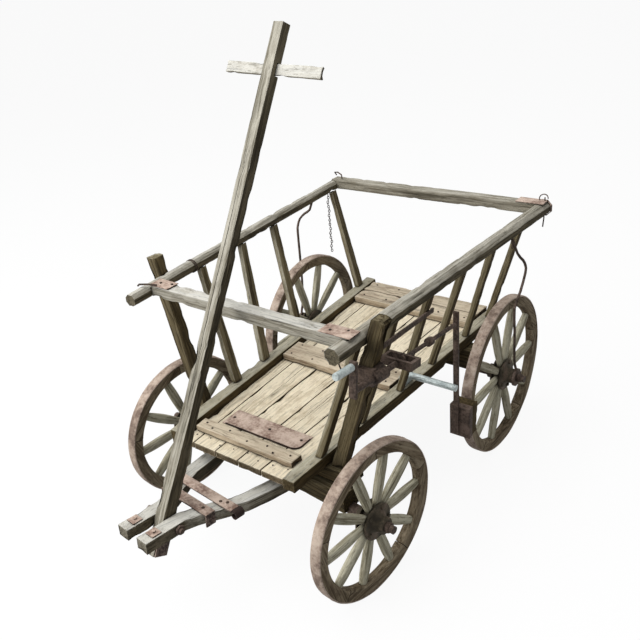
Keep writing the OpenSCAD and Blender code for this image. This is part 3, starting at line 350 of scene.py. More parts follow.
class Shape:
    """A mesh under construction: where each vertex lies in the grain, how worn it is, and how
    much sun and rain it gets together with how much painted light and shade it gets."""

    def __init__(self, weather_and_painted_light=0.5):
        self.verts, self.faces = [], []
        self.grain, self.wear, self.end, self.weather_and_painted_light = [], [], [], []
        # The share of sun, rain and painted light for vertices that are given none
        self.usual_weather_and_painted_light = weather_and_painted_light

    def add(self, verts, faces, grain=None, wear=None, end=None, weather_and_painted_light=None):
        """Adds a mesh, with a value for each vertex, or for each face where ends are marked."""
        first = len(self.verts)
        self.verts += [Vector(v) for v in verts]
        self.faces += [[first + i for i in f] for f in faces]
        self.grain += grain or [Vector(v) for v in verts]
        self.wear += wear or [0.0] * len(verts)
        self.end += end or [0.0] * len(faces)
        self.weather_and_painted_light += weather_and_painted_light or [self.usual_weather_and_painted_light] * len(verts)

    def loft(self, rings, capped=True, grain=None, wear=None):
        """Quads between rings of places, with a flat cap on both ends unless the rings join up."""
        sides, count = len(rings[0]), len(rings)
        faces, end = [], []
        for i in range(count - 1 if capped else count):
            here, there = i * sides, (i + 1) % count * sides
            for k in range(sides):
                after = (k + 1) % sides
                faces.append([here + k, here + after, there + after, there + k])
                end.append(0.0)
        if capped:
            last = (count - 1) * sides
            faces += [list(range(sides - 1, -1, -1)), [last + k for k in range(sides)]]
            end += [1.0, 1.0]
        self.add([p for ring in rings for p in ring], faces, grain, wear, end)

    def tube(self, points, radius, sides, capped=True):
        """A round rod through places, with its own ends or joined up into a ring."""
        count = len(points)
        rings = []
        up = None
        for i, p in enumerate(points):
            before = points[i - 1] if i or not capped else p
            after = points[(i + 1) % count] if i < count - 1 or not capped else p
            along = (after - before).normalized()
            if up is None:
                up = along.orthogonal()
            up = (up - up.dot(along) * along).normalized()
            side = along.cross(up)
            rings.append([p + radius * (math.cos(a) * up + math.sin(a) * side)
                          for a in (math.tau * k / sides for k in range(sides))])
        self.loft(rings, capped)

    def turned(self, matrix, profile, sides):
        """A profile of (place along X, radius), turned about the matrix's X axis."""
        rings = [[matrix @ Vector((x, r * math.cos(a), r * math.sin(a)))
                  for a in (math.tau * k / sides for k in range(sides))] for x, r in profile]
        self.loft(rings)

    def head(self, at, out, radius, height, sides=10):
        """A nail's or bolt's head on a surface that faces out, with its foot a little below."""
        sunk, shoulder, crown = 0.001, 0.55 * height, 0.72 * radius
        x = out.normalized()
        y = x.orthogonal().normalized()
        matrix = Matrix((x, y, x.cross(y))).transposed().to_4x4()
        matrix.translation = at
        self.turned(matrix, [(-sunk, radius), (shoulder, radius), (height, crown)], sides)

    def piece(self, name, body, slot, replaces=()):
        """Makes the shape a piece that rides on a body, and may stand for CAD nodes."""
        mesh = bpy.data.meshes.new(name)
        mesh.from_pydata(self.verts, [], self.faces)
        for label, kind, domain, key, values in (
                ("grain", "FLOAT_VECTOR", "POINT", "vector", [c for g in self.grain for c in g]),
                ("wear", "FLOAT", "POINT", "value", self.wear),
                ("weather_and_painted_light", "FLOAT", "POINT", "value", self.weather_and_painted_light),
                ("end", "FLOAT", "FACE", "value", self.end)):
            mesh.attributes.new(label, kind, domain).data.foreach_set(key, values)
        mesh.shade_smooth()
        mesh.set_sharp_from_angle(angle=SHARP)
        mesh.materials.append(MATERIALS[slot])
        made = bpy.data.objects.new(name, mesh)
        bpy.context.scene.collection.objects.link(made)
        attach(made, body)
        if replaces:
            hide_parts(*replaces)


def ripple(place, *lengths):
    """Noise from -1 to 1 whose waves have these lengths along each axis."""
    return noise.noise(Vector(p / length for p, length in zip(place, lengths)))


def chance(*seeds):
    """A number from -1 to 1 that depends on these alone."""
    return ripple(seeds, 1, 1, 1)


def middle_of(verts, at_least=-math.inf, at_most=math.inf):
    """The middle of those places whose Y is between these."""
    chosen = [v for v in verts if at_least < v.y < at_most]
    return sum(chosen, Vector()) / len(chosen)


def solids(node):
    """The solids of a CAD node, each a bmesh with its flat faces whole."""
    whole = bmesh.new()
    whole.from_mesh(NODES[node].data)
    bmesh.ops.remove_doubles(whole, verts=whole.verts, dist=WELD)
    bmesh.ops.dissolve_limit(whole, angle_limit=FLAT, verts=whole.verts, edges=whole.edges)
    seen = set()
    found = []
    for start in whole.verts:
        if start in seen or not start.link_faces:
            continue
        island, queue = [], [start]
        seen.add(start)
        while queue:
            v = queue.pop()
            island.append(v)
            for e in v.link_edges:
                other = e.other_vert(v)
                if other not in seen:
                    seen.add(other)
                    queue.append(other)
        part = bmesh.new()
        copy = {v: part.verts.new(v.co) for v in island}
        for f in whole.faces:
            if f.verts[0] in copy:
                part.faces.new([copy[v] for v in f.verts])
        part.normal_update()
        found.append(part)
    whole.free()
    return found


def strongest(vectors):
    """The direction in which most of the length of these vectors runs, one way or the other."""
    groups = []
    for v in vectors:
        for g in groups:
            dot = g.normalized().dot(v.normalized())
            if abs(dot) > SAME_WAY:
                g += v if dot > 0 else -v
                break
        else:
            groups.append(v.copy())
    return max(groups, key=lambda g: g.length).normalized()


def run_of(solid):
    """From the front end of a bent timber to its rear end, each a tenth of its length."""
    verts = [v.co for v in solid.verts]
    low, high = min(v.y for v in verts), max(v.y for v in verts)
    end = 0.1 * (high - low)
    rear, front = middle_of(verts, at_least=high - end), middle_of(verts, at_most=low + end)
    return (rear - front).normalized()


def grain_axes(solid, bent):
    """Along the grain, across it, and square to the widest face."""
    if bent:
        along = run_of(solid)
    else:
        along = strongest([e.verts[1].co - e.verts[0].co for e in solid.edges])
    walls = [f.normal * f.calc_area() for f in solid.faces if abs(f.normal.dot(along)) < 0.3]
    up = strongest(walls) if walls else along.orthogonal()
    up = (up - up.dot(along) * along).normalized()
    return along, up.cross(along), up


def cut(solid, axis, place):
    """Splits the faces at a plane square to axis."""
    bmesh.ops.bisect_plane(solid, geom=solid.verts[:] + solid.edges[:] + solid.faces[:],
                           dist=1e-6, plane_co=axis * place, plane_no=axis)


def cut_evenly(solid, axis, low, high, size):
    """Splits the faces at evenly spaced planes square to axis, about size apart."""
    count = max(1, round((high - low) / size))
    for i in range(1, count):
        cut(solid, axis, low + (high - low) * i / count)


def weather_and_painted_light_of(normal):
    """How much sun and rain a surface gets in the yard, and how much painted light: most on top,
    then in front and on the right, least on the left side (+X), which is painted in shade.
    """
    facing = ((Z, 0.9), (-Y, 0.42), (-X, 0.4), (Y, 0.2), (X, 0.04))
    return sum(share * max(0.0, normal.dot(way)) for way, share in facing)


def rounded_edges(solid, width):
    """Rounds the feature edges, and returns the layer that marks what is worn."""
    wear = solid.verts.layers.float.new("wear")
    edges = [e for e in solid.edges if e.is_manifold and e.calc_face_angle() > FEATURE]
    made = bmesh.ops.bevel(solid, geom=edges, offset=width, offset_type="OFFSET", segments=2,
                           profile=0.55, affect="EDGES", clamp_overlap=True)
    for v in made["verts"]:
        v[wear] = 1.0
    return wear


def worn_depth(at, worn, wave, chip):
    """How deep a surface has worn: slow and quick waves, and chips along worn edges."""
    depth = wave * (0.6 - 0.6 * ripple(at, 0.16, 0.05, 0.05))
    depth += 0.35 * wave * ripple(at, 0.03, 0.008, 0.008)
    return depth + worn * chip * max(0.0, ripple(at, 0.035, 0.03, 0.03) - 0.15)


def split_depth(share, middle):
    """How deep a split is at a share of the length, when its middle is at another share."""
    half_length, deepest = 0.28, 0.004
    return deepest * math.sqrt(max(0.0, 1 - abs(share - middle) / half_length))


def weather(shape, solid, seed, bevel, step, cross, wave, chip, splits=0, rough_end=0.0,
            weather_and_painted_light=1.0, bent=False):
    """Adds a solid to a shape with worn edges, an uneven surface, and splits along the grain.
    Its faces are cut every step along the grain and every cross across it."""
    facing, end_facing = 0.7, 0.75  # Cosines from which a surface faces along an axis
    split_half = 0.0012
    along, across, up = grain_axes(solid, bent)
    wear = rounded_edges(solid, bevel)
    spans = []
    for axis in (along, across, up):
        places = [axis.dot(v.co) for v in solid.verts]
        spans.append((min(places), max(places)))
    (start, stop), (left, right), (bottom, top) = spans
    lines = [left + (right - left) * (0.5 + 0.672 * chance(seed, 3.1 * i + 0.4, 0.7))
             for i in range(splits)]
    for line in lines:
        for offset in (-split_half, 0, split_half):
            cut(solid, across, line + offset)
    cut_evenly(solid, across, left, right, cross)
    cut_evenly(solid, up, bottom, top, cross)
    cut_evenly(solid, along, start, stop, step)
    solid.normal_update()
    solid.verts.index_update()
    verts, grain = [], []
    for v in solid.verts:
        a, b, c = (axis.dot(v.co) for axis in (along, across, up))
        # Each solid has a place of its own in the noise
        at = (a + 3.7 * seed, b + 1.3 * seed, c)
        depth = worn_depth(at, v[wear], wave, chip)
        if abs(v.normal.dot(along)) > facing:
            depth += rough_end * (0.5 + 0.5 * ripple(at, 1, 0.006, 0.006))
        if abs(v.normal.dot(up)) > facing:
            for i, line in enumerate(lines):
                if abs(b - line) < WELD:
                    depth += split_depth((a - start) / (stop - start),
                                         0.5 + 0.5 * chance(seed, i + 0.3, 5.2))
        verts.append(v.co - v.normal * max(0.0, depth))
        grain.append(Vector(at))
    # Each vertex gets sun, rain and painted light and shade by the way it faces, times the node's
    # share
    shape.add(verts, [[v.index for v in f.verts] for f in solid.faces], grain,
              [v[wear] for v in solid.verts],
              [1.0 if abs(f.normal.dot(along)) > end_facing else 0.0 for f in solid.faces],
              [weather_and_painted_light * weather_and_painted_light_of(v.normal) for v in solid.verts])
    solid.free()


# How each kind of node has worn, in metres, with its share of the sun and rain that its place gets,
# which also sets its painted light and shade
WOOD = dict(bevel=0.003, step=0.012, cross=0.009, wave=0.0015, chip=0.009, rough_end=0.003)
IRON = dict(bevel=0.0007, step=0.020, cross=0.014, wave=0.0003, chip=0.0008)
RUNGS = dict(weather_and_painted_light=1.5, chip=0.004, wave=0.0011)
FORK_ARM = dict(bevel=0.006, weather_and_painted_light=1.05, bent=True)
SPECIAL = {
    "floor_planks": dict(splits=1, cross=0.014, step=0.018, bevel=0.0018, wave=0.0014),
    "top_rail_left": dict(bevel=0.006, chip=0.012, weather_and_painted_light=0.76),
    "top_rail_right": dict(bevel=0.006, chip=0.012, weather_and_painted_light=0.8),
    "corner_post_left": dict(bevel=0.005, chip=0.012, weather_and_painted_light=0.8),
    "corner_post_right": dict(bevel=0.005, chip=0.012, weather_and_painted_light=0.85),
    "rungs_left": RUNGS,
    "rungs_right": RUNGS,
    "bolster": dict(weather_and_painted_light=0.6),
    "rear_axle_bed": dict(weather_and_painted_light=0.6),
    "front_axle_bed": dict(weather_and_painted_light=0.7),
    "brake_block": dict(weather_and_painted_light=0.5),
    "drawbar_pole": dict(bevel=0.0022, splits=1, weather_and_painted_light=0.66, wave=0.001),
    "fork_strap_front": dict(weather_and_painted_light=0.62),
    "fork_strap_rear": dict(weather_and_painted_light=0.7),
    "drawbar_handle": dict(weather_and_painted_light=1.3),
    "fork_arm_left": FORK_ARM,
    "fork_arm_right": FORK_ARM,
    "front_crossbar": dict(bevel=0.004, weather_and_painted_light=1.15),
    "rear_crossbar": dict(weather_and_painted_light=0.7),
    "bottom_rail_left": dict(weather_and_painted_light=1.15),
    "bottom_rail_right": dict(weather_and_painted_light=1.15),
    "brake_bracket": dict(weather_and_painted_light=0.35),
    "brake_yoke": dict(weather_and_painted_light=0.7),
    "brake_crank": dict(weather_and_painted_light=0.6),
}


def weathered_node(node):
    """Stands a worn copy of a CAD node in its place."""
    slot = SLOT[node]
    settings = dict(WOOD if "wood" in slot else IRON)
    settings.update(SPECIAL.get(node, {}))
    shape = Shape()
    for i, solid in enumerate(solids(node)):
        seed = 0.37 + i + sorted(NODES).index(node) * 0.61
        weather(shape, solid, seed, **settings)
    shape.piece(node + "_worn", BODY[node], slot, [node])


# ---- Wheels ----

class Wheel:
    """One wheel's own frame, X outwards along its axle, and its sizes from the CAD nodes."""

    def __init__(self, name):
        self.name = name
        joint = JOINT[name + "_spin"]
        self.body = joint["child"]
        self.centre = Vector(joint["pos_m"])
        self.out = Vector(joint["axis"])
        if self.out.x * self.centre.x < 0:
            self.out = -self.out
        self.matrix = Matrix((self.out, Z.cross(self.out), Z)).transposed().to_4x4()
        self.matrix.translation = self.centre
        self.inverse = self.matrix.inverted()
        self.seed = 11.0 + 2.3 * sorted(JOINT).index(joint["name"])

    def node(self, part):
        return f"{self.name}_{part}"

    def places(self, part):
        """A node's vertices as (along the axle, distance from it)."""
        local = [self.inverse @ v.co for v in NODES[self.node(part)].data.vertices]
        return [(p.x, math.hypot(p.y, p.z)) for p in local]

    def ring(self, part):
        """Inner radius, outer radius and half width of a ring-shaped node."""
        at = self.places(part)
        return min(r for _, r in at), max(r for _, r in at), max(x for x, _ in at)

    def at(self, x, r, angle):
        return self.matrix @ Vector((x, r * math.sin(angle), r * math.cos(angle)))

    def ray(self, angle):
        """From the axle outwards, square to it."""
        return (self.at(0, 1, angle) - self.centre).normalized()

    def make(self):
        self.tyre()
        self.felloes()
        self.spokes()
        self.hub()

    def tyre(self):
        """An iron band with worn edges and shallow dents, and the heads that hold it."""
        inner, outer, half = self.ring("tyre")
        stations, bolts = 144, 10
        edge, crown = 0.0022, 0.0003
        # A little narrower and lower than the CAD band, which it then sways and dents inside
        narrowed, lowered = 0.985, 0.0006
        sway_most, dent_most = 0.0012, 0.0008
        quarter = [(half, inner), (half, outer - edge), (half - 0.6 * edge, outer - 0.3 * edge),
                   (half - 2 * edge, outer)]
        section = [(-x, r) for x, r in quarter] + [(0, outer + crown)] + quarter[::-1]
        shape = Shape()
        rings, wear = [], []
        for i in range(stations):
            angle = math.tau * i / stations
            round_trip = (math.cos(angle) * 3 + self.seed, math.sin(angle) * 3, 0.0)
            dent = dent_most * (0.5 - 0.5 * ripple(round_trip, 0.35, 0.35, 1))
            sway = sway_most * ripple(round_trip, 1.1, 1.1, 1)
            rings.append([self.at(x * narrowed + sway,
                                  r - lowered - (dent if r > inner else 0.0), angle)
                          for x, r in section])
            wear += [1.0 if abs(x) > half - 1.5 * edge and r > inner else 0.0
                     for x, r in section]
        shape.loft(rings, capped=False, wear=wear)
        for i in range(bolts):
            side = (-1) ** i
            angle = math.tau * (i + 0.18 * side) / bolts + 0.2
            shape.head(self.at(0.004 * side, outer - 0.0012, angle), self.ray(angle),
                       0.0055, 0.0011)
        shape.piece(self.node("tyre_band"), self.body, "tyre_iron", [self.node("tyre")])

    def felloes(self):
        """Five curved timbers, a little out of line with each other, with gaps between them."""
        inner, outer, half = self.ring("rim")
        count, stations = 5, 22
        gap, chamfer = 0.0011, 0.0045
        shift_most, sink_most, wave, narrowing = 0.0006, 0.0008, 0.0012, 0.018
        behind_tyre = 0.0003
        turn = math.tau / count
        section = [(-half, outer), (-half, inner + 2 * chamfer), (-half, inner + chamfer),
                   (-half + chamfer, inner), (-half / 3, inner), (half / 3, inner),
                   (half - chamfer, inner), (half, inner + chamfer), (half, inner + 2 * chamfer),
                   (half, outer)]
        shape = Shape()
        for k in range(count):
            start = turn * k + 0.05
            middle = start + turn / 2
            shift = shift_most * chance(self.seed + k, 0.5, 0)
            sink = sink_most * (1 + chance(self.seed + k, 2.5, 0))
            rings, grain, wear = [], [], []
            for i in range(stations + 1):
                angle = start + gap / outer + i / stations * (turn - 2 * gap / outer)
                ring = []
                for x, r in section:
                    at = (self.seed + k * 1.9 + r * angle, r, x)
                    rise = -behind_tyre
                    if r < outer:
                        rise = sink * 0.5 + wave * ripple(at, 0.05, 0.02, 0.02)
                    x_here = (x + shift) * (1 - narrowing * (1 + ripple(at, 0.09, 0.03, 0.03)))
                    ring.append(self.at(x_here, r + rise, angle))
                    grain.append(Vector((r * math.sin(angle - middle) + 5.1 * k + self.seed,
                                         r * math.cos(angle - middle), x)))
                    wear.append(1.0 if inner < r < inner + 1.5 * chamfer else 0.0)
                rings.append(ring)
            shape.loft(rings, grain=grain, wear=wear)
        shape.piece(self.node("felloes"), self.body, "felloe_wood", [self.node("rim")])

    def spokes(self):
        """Spokes with a rounded square section, widest halfway out."""
        at = self.places("spokes")
        foot, half = min(r for _, r in at), max(x for x, _ in at)
        tip = self.ring("rim")[0] + 0.003  # Out of sight in the felloes
        hewn = 0.05
        count, stations, sides = len(solids(self.node("spokes"))), 22, 16
        shape = Shape()
        for k in range(count):
            angle = math.tau * (k + 0.5) / count
            radial = self.ray(angle)
            tangent = radial.cross(self.out)
            rings, grain, wear = [], [], []
            for i in range(stations + 1):
                share = i / stations
                r = foot + (tip - foot) * share
                belly = 0.9 + 0.36 * math.sin(math.pi * (0.1 + 0.72 * share)) ** 2
                wide, thick = half * belly, half * min(0.98, 0.82 * belly)
                ring = []
                for j in range(sides):
                    turn = math.tau * (j + 0.5) / sides
                    c, s = math.cos(turn), math.sin(turn)
                    square = (abs(c) ** 3 + abs(s) ** 3) ** (-1 / 3)
                    place = (r + 2.7 * k + self.seed, wide * c, thick * s)
                    size = square * (1 - hewn * (1 + ripple(place, 0.05, 0.01, 0.01)))
                    ring.append(self.centre + radial * r
                                + tangent * wide * c * size + self.out * thick * s * size)
                    grain.append(Vector(place))
                    wear.append(max(0.0, square - 1.05) * 4)
                rings.append(ring)
            shape.loft(rings, grain=grain, wear=wear)
        shape.piece(self.node("spokes_worn"), self.body, "spoke_wood", [self.node("spokes")])

    def hub(self):
        """A cast hub: a disc on each side of the spokes, a nose with a rim, and five bolts."""
        at = self.places("hub")
        nose, tail = max(x for x, _ in at), min(x for x, _ in at)
        bore, disc = min(r for _, r in at), max(r for _, r in at)
        disc_x = max(x for x, r in at if r > disc - 1e-4)
        nose_r = min(r for x, r in at if x > nose - 1e-4 and r > bore + 1e-3)
        core = 0.77 * disc
        inner_x = disc_x - 0.005
        bolts, bolt_circle = 5, 0.8 * disc
        shape = Shape()
        shape.turned(self.matrix, [
            (tail, bore), (tail, nose_r - 0.002), (tail + 0.002, nose_r), (-disc_x - 0.004, nose_r),
            (-disc_x, nose_r + 0.006), (-disc_x, disc - 0.003), (-disc_x + 0.001, disc),
            (-inner_x, disc), (-inner_x, core), (inner_x, core), (inner_x, disc - 0.0005),
            (disc_x - 0.002, disc), (disc_x, disc - 0.002), (disc_x, nose_r + 0.011),
            (disc_x + 0.003, nose_r + 0.006), (disc_x + 0.008, nose_r + 0.001),
            (nose - 0.012, nose_r - 0.001), (nose - 0.011, nose_r + 0.0005),
            (nose - 0.002, nose_r + 0.0005), (nose, nose_r - 0.0015), (nose, bore)], 64)
        for k in range(bolts):
            angle = math.tau * (k + 0.35) / bolts
            for side in (1, -1):
                shape.head(self.at(side * disc_x, bolt_circle, angle), side * self.out,
                           0.0062, 0.005, 6)
        shape.piece(self.node("hub_iron"), self.body, "hub_iron", [self.node("hub")])


# ---- The cart ----

WHEELS = [Wheel(j.removesuffix("_spin")) for j in sorted(JOINT) if j.endswith("_spin")]
wheel_nodes = {w.node(p) for w in WHEELS for p in ("tyre", "rim", "spokes", "hub")}
for wheel in WHEELS:
    wheel.make()
for node in sorted(NODES):
    if node not in wheel_nodes:
        weathered_node(node)


# ---- Nails, rivets, chains and wire ----

def corners_of(node):
    """A node's lowest and highest corners."""
    return [Vector(c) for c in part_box(node)]


def ends_of(node):
    """Middle of the top edge at a bar's low and high X ends, the way across, and the way its
    top faces."""
    low, high = corners_of(node)
    near = 0.006
    verts = [v.co for v in NODES[node].data.vertices]
    edges = []
    for group in ([v for v in verts if v.x < low.x + near],
                  [v for v in verts if v.x > high.x - near]):
        places = {tuple(round(c, 5) for c in v) for v in group}
        edges.append([Vector(v) for v in sorted(places, key=lambda v: -v[2])[:2]])
    (a, b), (c, d) = edges
    left, right = (a + b) / 2, (c + d) / 2
    across = (b - a).normalized()
    up = (right - left).cross(across).normalized()
    return left, right, across, up if up.z > 0 else -up


def nails(shape, node, places, radius=0.003, height=0.0012):
    """Nail heads on a node's top, at shares of its width and depth."""
    low, high = corners_of(node)
    for x, y in places:
        at = Vector((low.x + x * (high.x - low.x), low.y + y * (high.y - low.y), high.z))
        shape.head(at, Z, radius, height, 8)


def rivets(shape, node, places):
    """Rivet heads on a bar, at a share of its length and a distance off its middle line."""
    left, right, across, up = ends_of(node)
    for share, aside in places:
        shape.head(left.lerp(right, share) + aside * across, up, 0.0045, 0.002)


def link(shape, at, along, flat):
    """One oval link of a chain, 11 by 7 mm along the middle of its wire."""
    side = along.cross(flat)
    half_length, half_width, radius = 0.0055, 0.0035, 0.0013
    turns = [math.tau * k / 14 for k in range(14)]
    shape.tube([at + along * half_length * math.cos(a) + side * half_width * math.sin(a)
                for a in turns], radius, 6, capped=False)


def chain(name, top, drop):
    """Links hung one from the next, each a quarter turn round."""
    shape = Shape(0.3)
    pitch = 0.0086
    for i in range(round(drop / pitch)):
        turn = math.pi / 4 + math.pi / 2 * (i % 2)
        sway = Vector((0.0012 * math.sin(1.3 * i), 0.0015 * math.cos(0.9 * i), 0))
        link(shape, top - Z * pitch * (i + 0.5) + sway, Z,
             Vector((math.cos(turn), math.sin(turn), 0)))
    shape.piece(name, "cart", "dark_iron")


def arc(middle, one, other, start, stop, count=18):
    """Places on an ellipse with these two half axes."""
    turns = [start + (stop - start) * i / (count - 1) for i in range(count)]
    return [middle + one * math.cos(a) + other * math.sin(a) for a in turns]


def bends(at, *offsets):
    """Places at offsets from one place."""
    return [at + Vector(offset) for offset in offsets]


def wire(name, points, radius, capped=True):
    """A piece of bent wire on the cart."""
    shape = Shape(0.35)
    shape.tube(points, radius, 8, capped)
    shape.piece(name, "cart", "dark_iron")


def floor_nails():
    """Nails in the battens, and a row along the planks' front ends."""
    shape = Shape(0.2)
    nails(shape, "front_batten", [(0.07, 0.6), (0.16, 0.3), (0.31, 0.65), (0.52, 0.35),
                                  (0.7, 0.6), (0.79, 0.25), (0.93, 0.55)])
    for node in ("middle_batten", "rear_battens"):
        nails(shape, node, [(x, y) for x in (0.07, 0.27, 0.48, 0.72, 0.93) for y in (0.2, 0.83)])
    low, high = corners_of("floor_planks")
    count, margin, inset = 10, 0.03, 0.028
    for i in range(count):
        x = low.x + margin + (high.x - low.x - 2 * margin) * i / (count - 1)
        y = low.y + inset + 0.006 * (i % 3)
        shape.head(Vector((x, y, high.z)), Z, 0.0022, 0.0006, 6)
    shape.piece("floor_nails", "cart", "dark_iron")


def plate_lip():
    """The floor plate's rusted edge, bent up in front and round its left corner."""
    low, high = corners_of("floor_plate")
    radius, end_gap, inset = 0.024, 0.012, 0.0012
    section = ((-0.001, -0.003), (0.0012, -0.003), (0.0012, 0.0), (-0.001, 0.0004))
    corner = arc(Vector((high.x - radius, low.y + radius, 0)), X * radius, -Y * radius,
                 math.tau / 4, 0, 8)
    path = [Vector((low.x + end_gap, low.y, 0)), Vector((low.x + 0.11, low.y, 0))]
    path += corner + [Vector((high.x, high.y - end_gap, 0))]
    rings = []
    for i, p in enumerate(path):
        along = (path[min(i + 1, len(path) - 1)] - path[max(i - 1, 0)]).normalized()
        out = along.cross(Z)
        lift = Z * (high.z + 0.0016 + 0.0008 * ripple(p, 0.03, 0.03, 1))
        rings.append([p - out * inset + lift + out * x + Z * z for x, z in section])
    shape = Shape(0.05)
    shape.loft(rings)
    shape.piece("plate_lip", "cart", "rusty_strap_iron")


def plate_nails():
    """Heads on the floor plate, and on the crossbar's two plates, the right one lower."""
    shape = Shape(0.3)
    nails(shape, "floor_plate", [(0.06, 0.5), (0.53, 0.55), (0.93, 0.6)], 0.0042, 0.0018)
    low, high = corners_of("front_corner_plates")
    left_top = high.z - 0.0012
    for x, y, z in ((0.04, 0.62, low.z + 0.0049), (0.095, 0.72, low.z + 0.0058),
                    (0.9, 0.3, left_top), (0.96, 0.55, left_top)):
        at = Vector((low.x + x * (high.x - low.x), low.y + y * (high.y - low.y), z))
        shape.head(at, Z, 0.0036, 0.0016)
    shape.piece("plate_nails", "cart", "dark_iron")


def fork_rivets():
    """The heads that hold both straps to the fork's arms."""
    shape = Shape(0.15)
    rivets(shape, "fork_strap_rear", [(0.1, 0.004), (0.14, -0.004), (0.8, -0.004), (0.87, 0.004)])
    rivets(shape, "fork_strap_front", [(0.14, 0.0), (0.83, 0.002)])
    shape.piece("strap_rivets", BODY["fork_strap_rear"], "dark_iron")


def curled_end():
    """The rear strap's left end, curled down and round into an open eye past the arm."""
    left, right, across, up = ends_of("fork_strap_rear")
    along = (right - left).normalized()
    half, thick, radius = 0.0148, 0.0036, 0.0125
    middle = right + along * 0.009 - up * radius * 0.8
    shape = Shape(0.12)
    rings, count = [], 22
    for i in range(count):
        turn = math.radians(-55 + 300 * i / (count - 1))
        ray = along * math.sin(turn) + up * math.cos(turn)
        wide = half * (1 - 0.18 * i / (count - 1))
        rings.append([middle + ray * r + across * w for r, w in
                      ((radius, -wide), (radius, wide), (radius - thick, wide),
                       (radius - thick, -wide))])
    shape.loft(rings)
    shape.piece("curled_strap_end", BODY["fork_strap_rear"], "rusty_strap_iron")


def crank_grip():
    """A galvanised sleeve over the brake's handgrip."""
    verts = [v.co for v in NODES["brake_crank"].data.vertices]
    low = min(v.y for v in verts)
    ring = [v for v in verts if v.y < low + 0.0035]
    middle = sum(ring, Vector()) / len(ring)
    axis = (ring[0] - middle).cross(ring[len(ring) // 3] - middle).normalized()
    axis = axis if axis.y > 0 else -axis
    matrix = Matrix((axis, X, axis.cross(X))).transposed().to_4x4()
    matrix.translation = middle
    shape = Shape()
    shape.turned(matrix, [(-0.0012, 0.0078), (0.0, 0.0092), (0.002, 0.0095), (0.058, 0.0095),
                          (0.061, 0.0094), (0.0625, 0.0091)], 28)
    shape.piece("crank_grip", BODY["brake_crank"], "galvanised_iron")


def rail_middle(node, y):
    """The middle of a top rail's section at a place along the cart."""
    verts = [v.co for v in NODES[node].data.vertices]
    near = 0.02
    a = middle_of(verts, at_most=min(v.y for v in verts) + near)
    b = middle_of(verts, at_least=max(v.y for v in verts) - near)
    return a.lerp(b, (y - a.y) / (b.y - a.y))


def rear_corner_trim():
    """A ring and a bent pin on the left rear corner, and a hook over the right end."""
    corner = Vector(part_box("rear_corner_strap")[1])
    at = corner + Vector((-0.024, -0.017, 0.006))
    wire("corner_ring", arc(at, X * 0.014, Vector((0, 0.45, 0.9)) * 0.013, 0, math.tau * 0.96),
         0.0017)
    wire("corner_pin", bends(at, (0.004, 0, 0.004), (0.006, -0.006, -0.03),
                             (0.008, -0.012, -0.062), (0.007, -0.016, -0.088)), 0.0022)
    low, high = corners_of("rear_crossbar")
    wire("rear_hook", bends(Vector((low.x, low.y, high.z)), (0.004, 0.03, -0.004),
                            (-0.004, 0.03, 0.006), (0.012, 0.026, 0.009),
                            (0.034, 0.018, 0.004), (0.046, 0.004, -0.004)), 0.0024)


def wire_twist():
    """Two turns of wire round the right top rail."""
    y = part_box("top_rail_right")[0][1] + 0.25
    middle = rail_middle("top_rail_right", y)
    along = (rail_middle("top_rail_right", y + 0.1) - middle).normalized()
    side = along.cross(Z).normalized()
    count = 16
    for i in range(2):
        turn = arc(middle + along * 0.006 * i, side * 0.0205, Z * 0.0195, 0,
                   math.tau * (count - 1) / count, count)
        wire(f"wire_twist_{i}", turn, 0.0013, capped=False)


def front_corner_trim():
    """A hook out of the crossbar's right end, and a pin under the left top rail's end."""
    plate = Vector(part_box("front_corner_plates")[0])
    wire("front_hook", bends(plate, (0.03, 0.02, 0.006), (0.002, 0.012, 0.006),
                             (-0.022, 0.004, 0.004), (-0.034, 0.008, -0.004)), 0.0028)
    near = rail_middle("top_rail_left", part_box("top_rail_left")[0][1] + 0.022)
    wire("front_pin", bends(near, (0, 0, -0.01), (0.002, 0.002, -0.03),
                            (0.006, 0.004, -0.045)), 0.0018)


def rail_chains():
    """A short chain under the left top rail's rear end and a long one under the right."""
    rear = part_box("top_rail_left")[1][1]
    under = -0.016 * Z
    chain("near_chain", rail_middle("top_rail_left", rear - 0.17) - 0.021 * X + under, 0.066)
    chain("far_chain", rail_middle("top_rail_right", rear - 0.11) + 0.008 * X + under, 0.224)


floor_nails()
plate_nails()
plate_lip()
fork_rivets()
curled_end()
crank_grip()
rear_corner_trim()
wire_twist()
front_corner_trim()
rail_chains()


# ---- Camera, light and floor ----

def camera():
    """Seen from the front left and above, at the photograph's angle and distance."""
    azimuth, elevation, roll = math.radians(38.46), math.radians(27.42), -0.093
    from_kingpin = Vector((1.2557, -1.2982, 1.6142))
    back = Vector((math.sin(azimuth) * math.cos(elevation),
                   -math.cos(azimuth) * math.cos(elevation), math.sin(elevation)))
    right = Vector((math.cos(azimuth), math.sin(azimuth), 0))
    up = back.cross(right)
    right, up = (right * math.cos(roll) + up * math.sin(roll),
                 up * math.cos(roll) - right * math.sin(roll))
    data = bpy.data.cameras.new("camera")
    data.sensor_width, data.lens = 36.0, 43.68
    made = bpy.data.objects.new("camera", data)
    made.matrix_world = Matrix((right, up, back)).transposed().to_4x4()
    kingpin = Vector(JOINT["steering"]["pos_m"])
    made.location = Vector((kingpin.x, kingpin.y, 0)) + from_kingpin
    bpy.context.scene.collection.objects.link(made)
    bpy.context.scene.camera = made


def lamp(name, at, size, power):
    """A soft lamp that looks at the middle of the cart."""
    data = bpy.data.lights.new(name, "AREA")
    data.size, data.energy = size, power
    made = bpy.data.objects.new(name, data)
    made.location = at
    made.rotation_mode = "QUATERNION"
    made.rotation_quaternion = (0.4 * Z - Vector(at)).to_track_quat("-Z", "Y")
    bpy.context.scene.collection.objects.link(made)


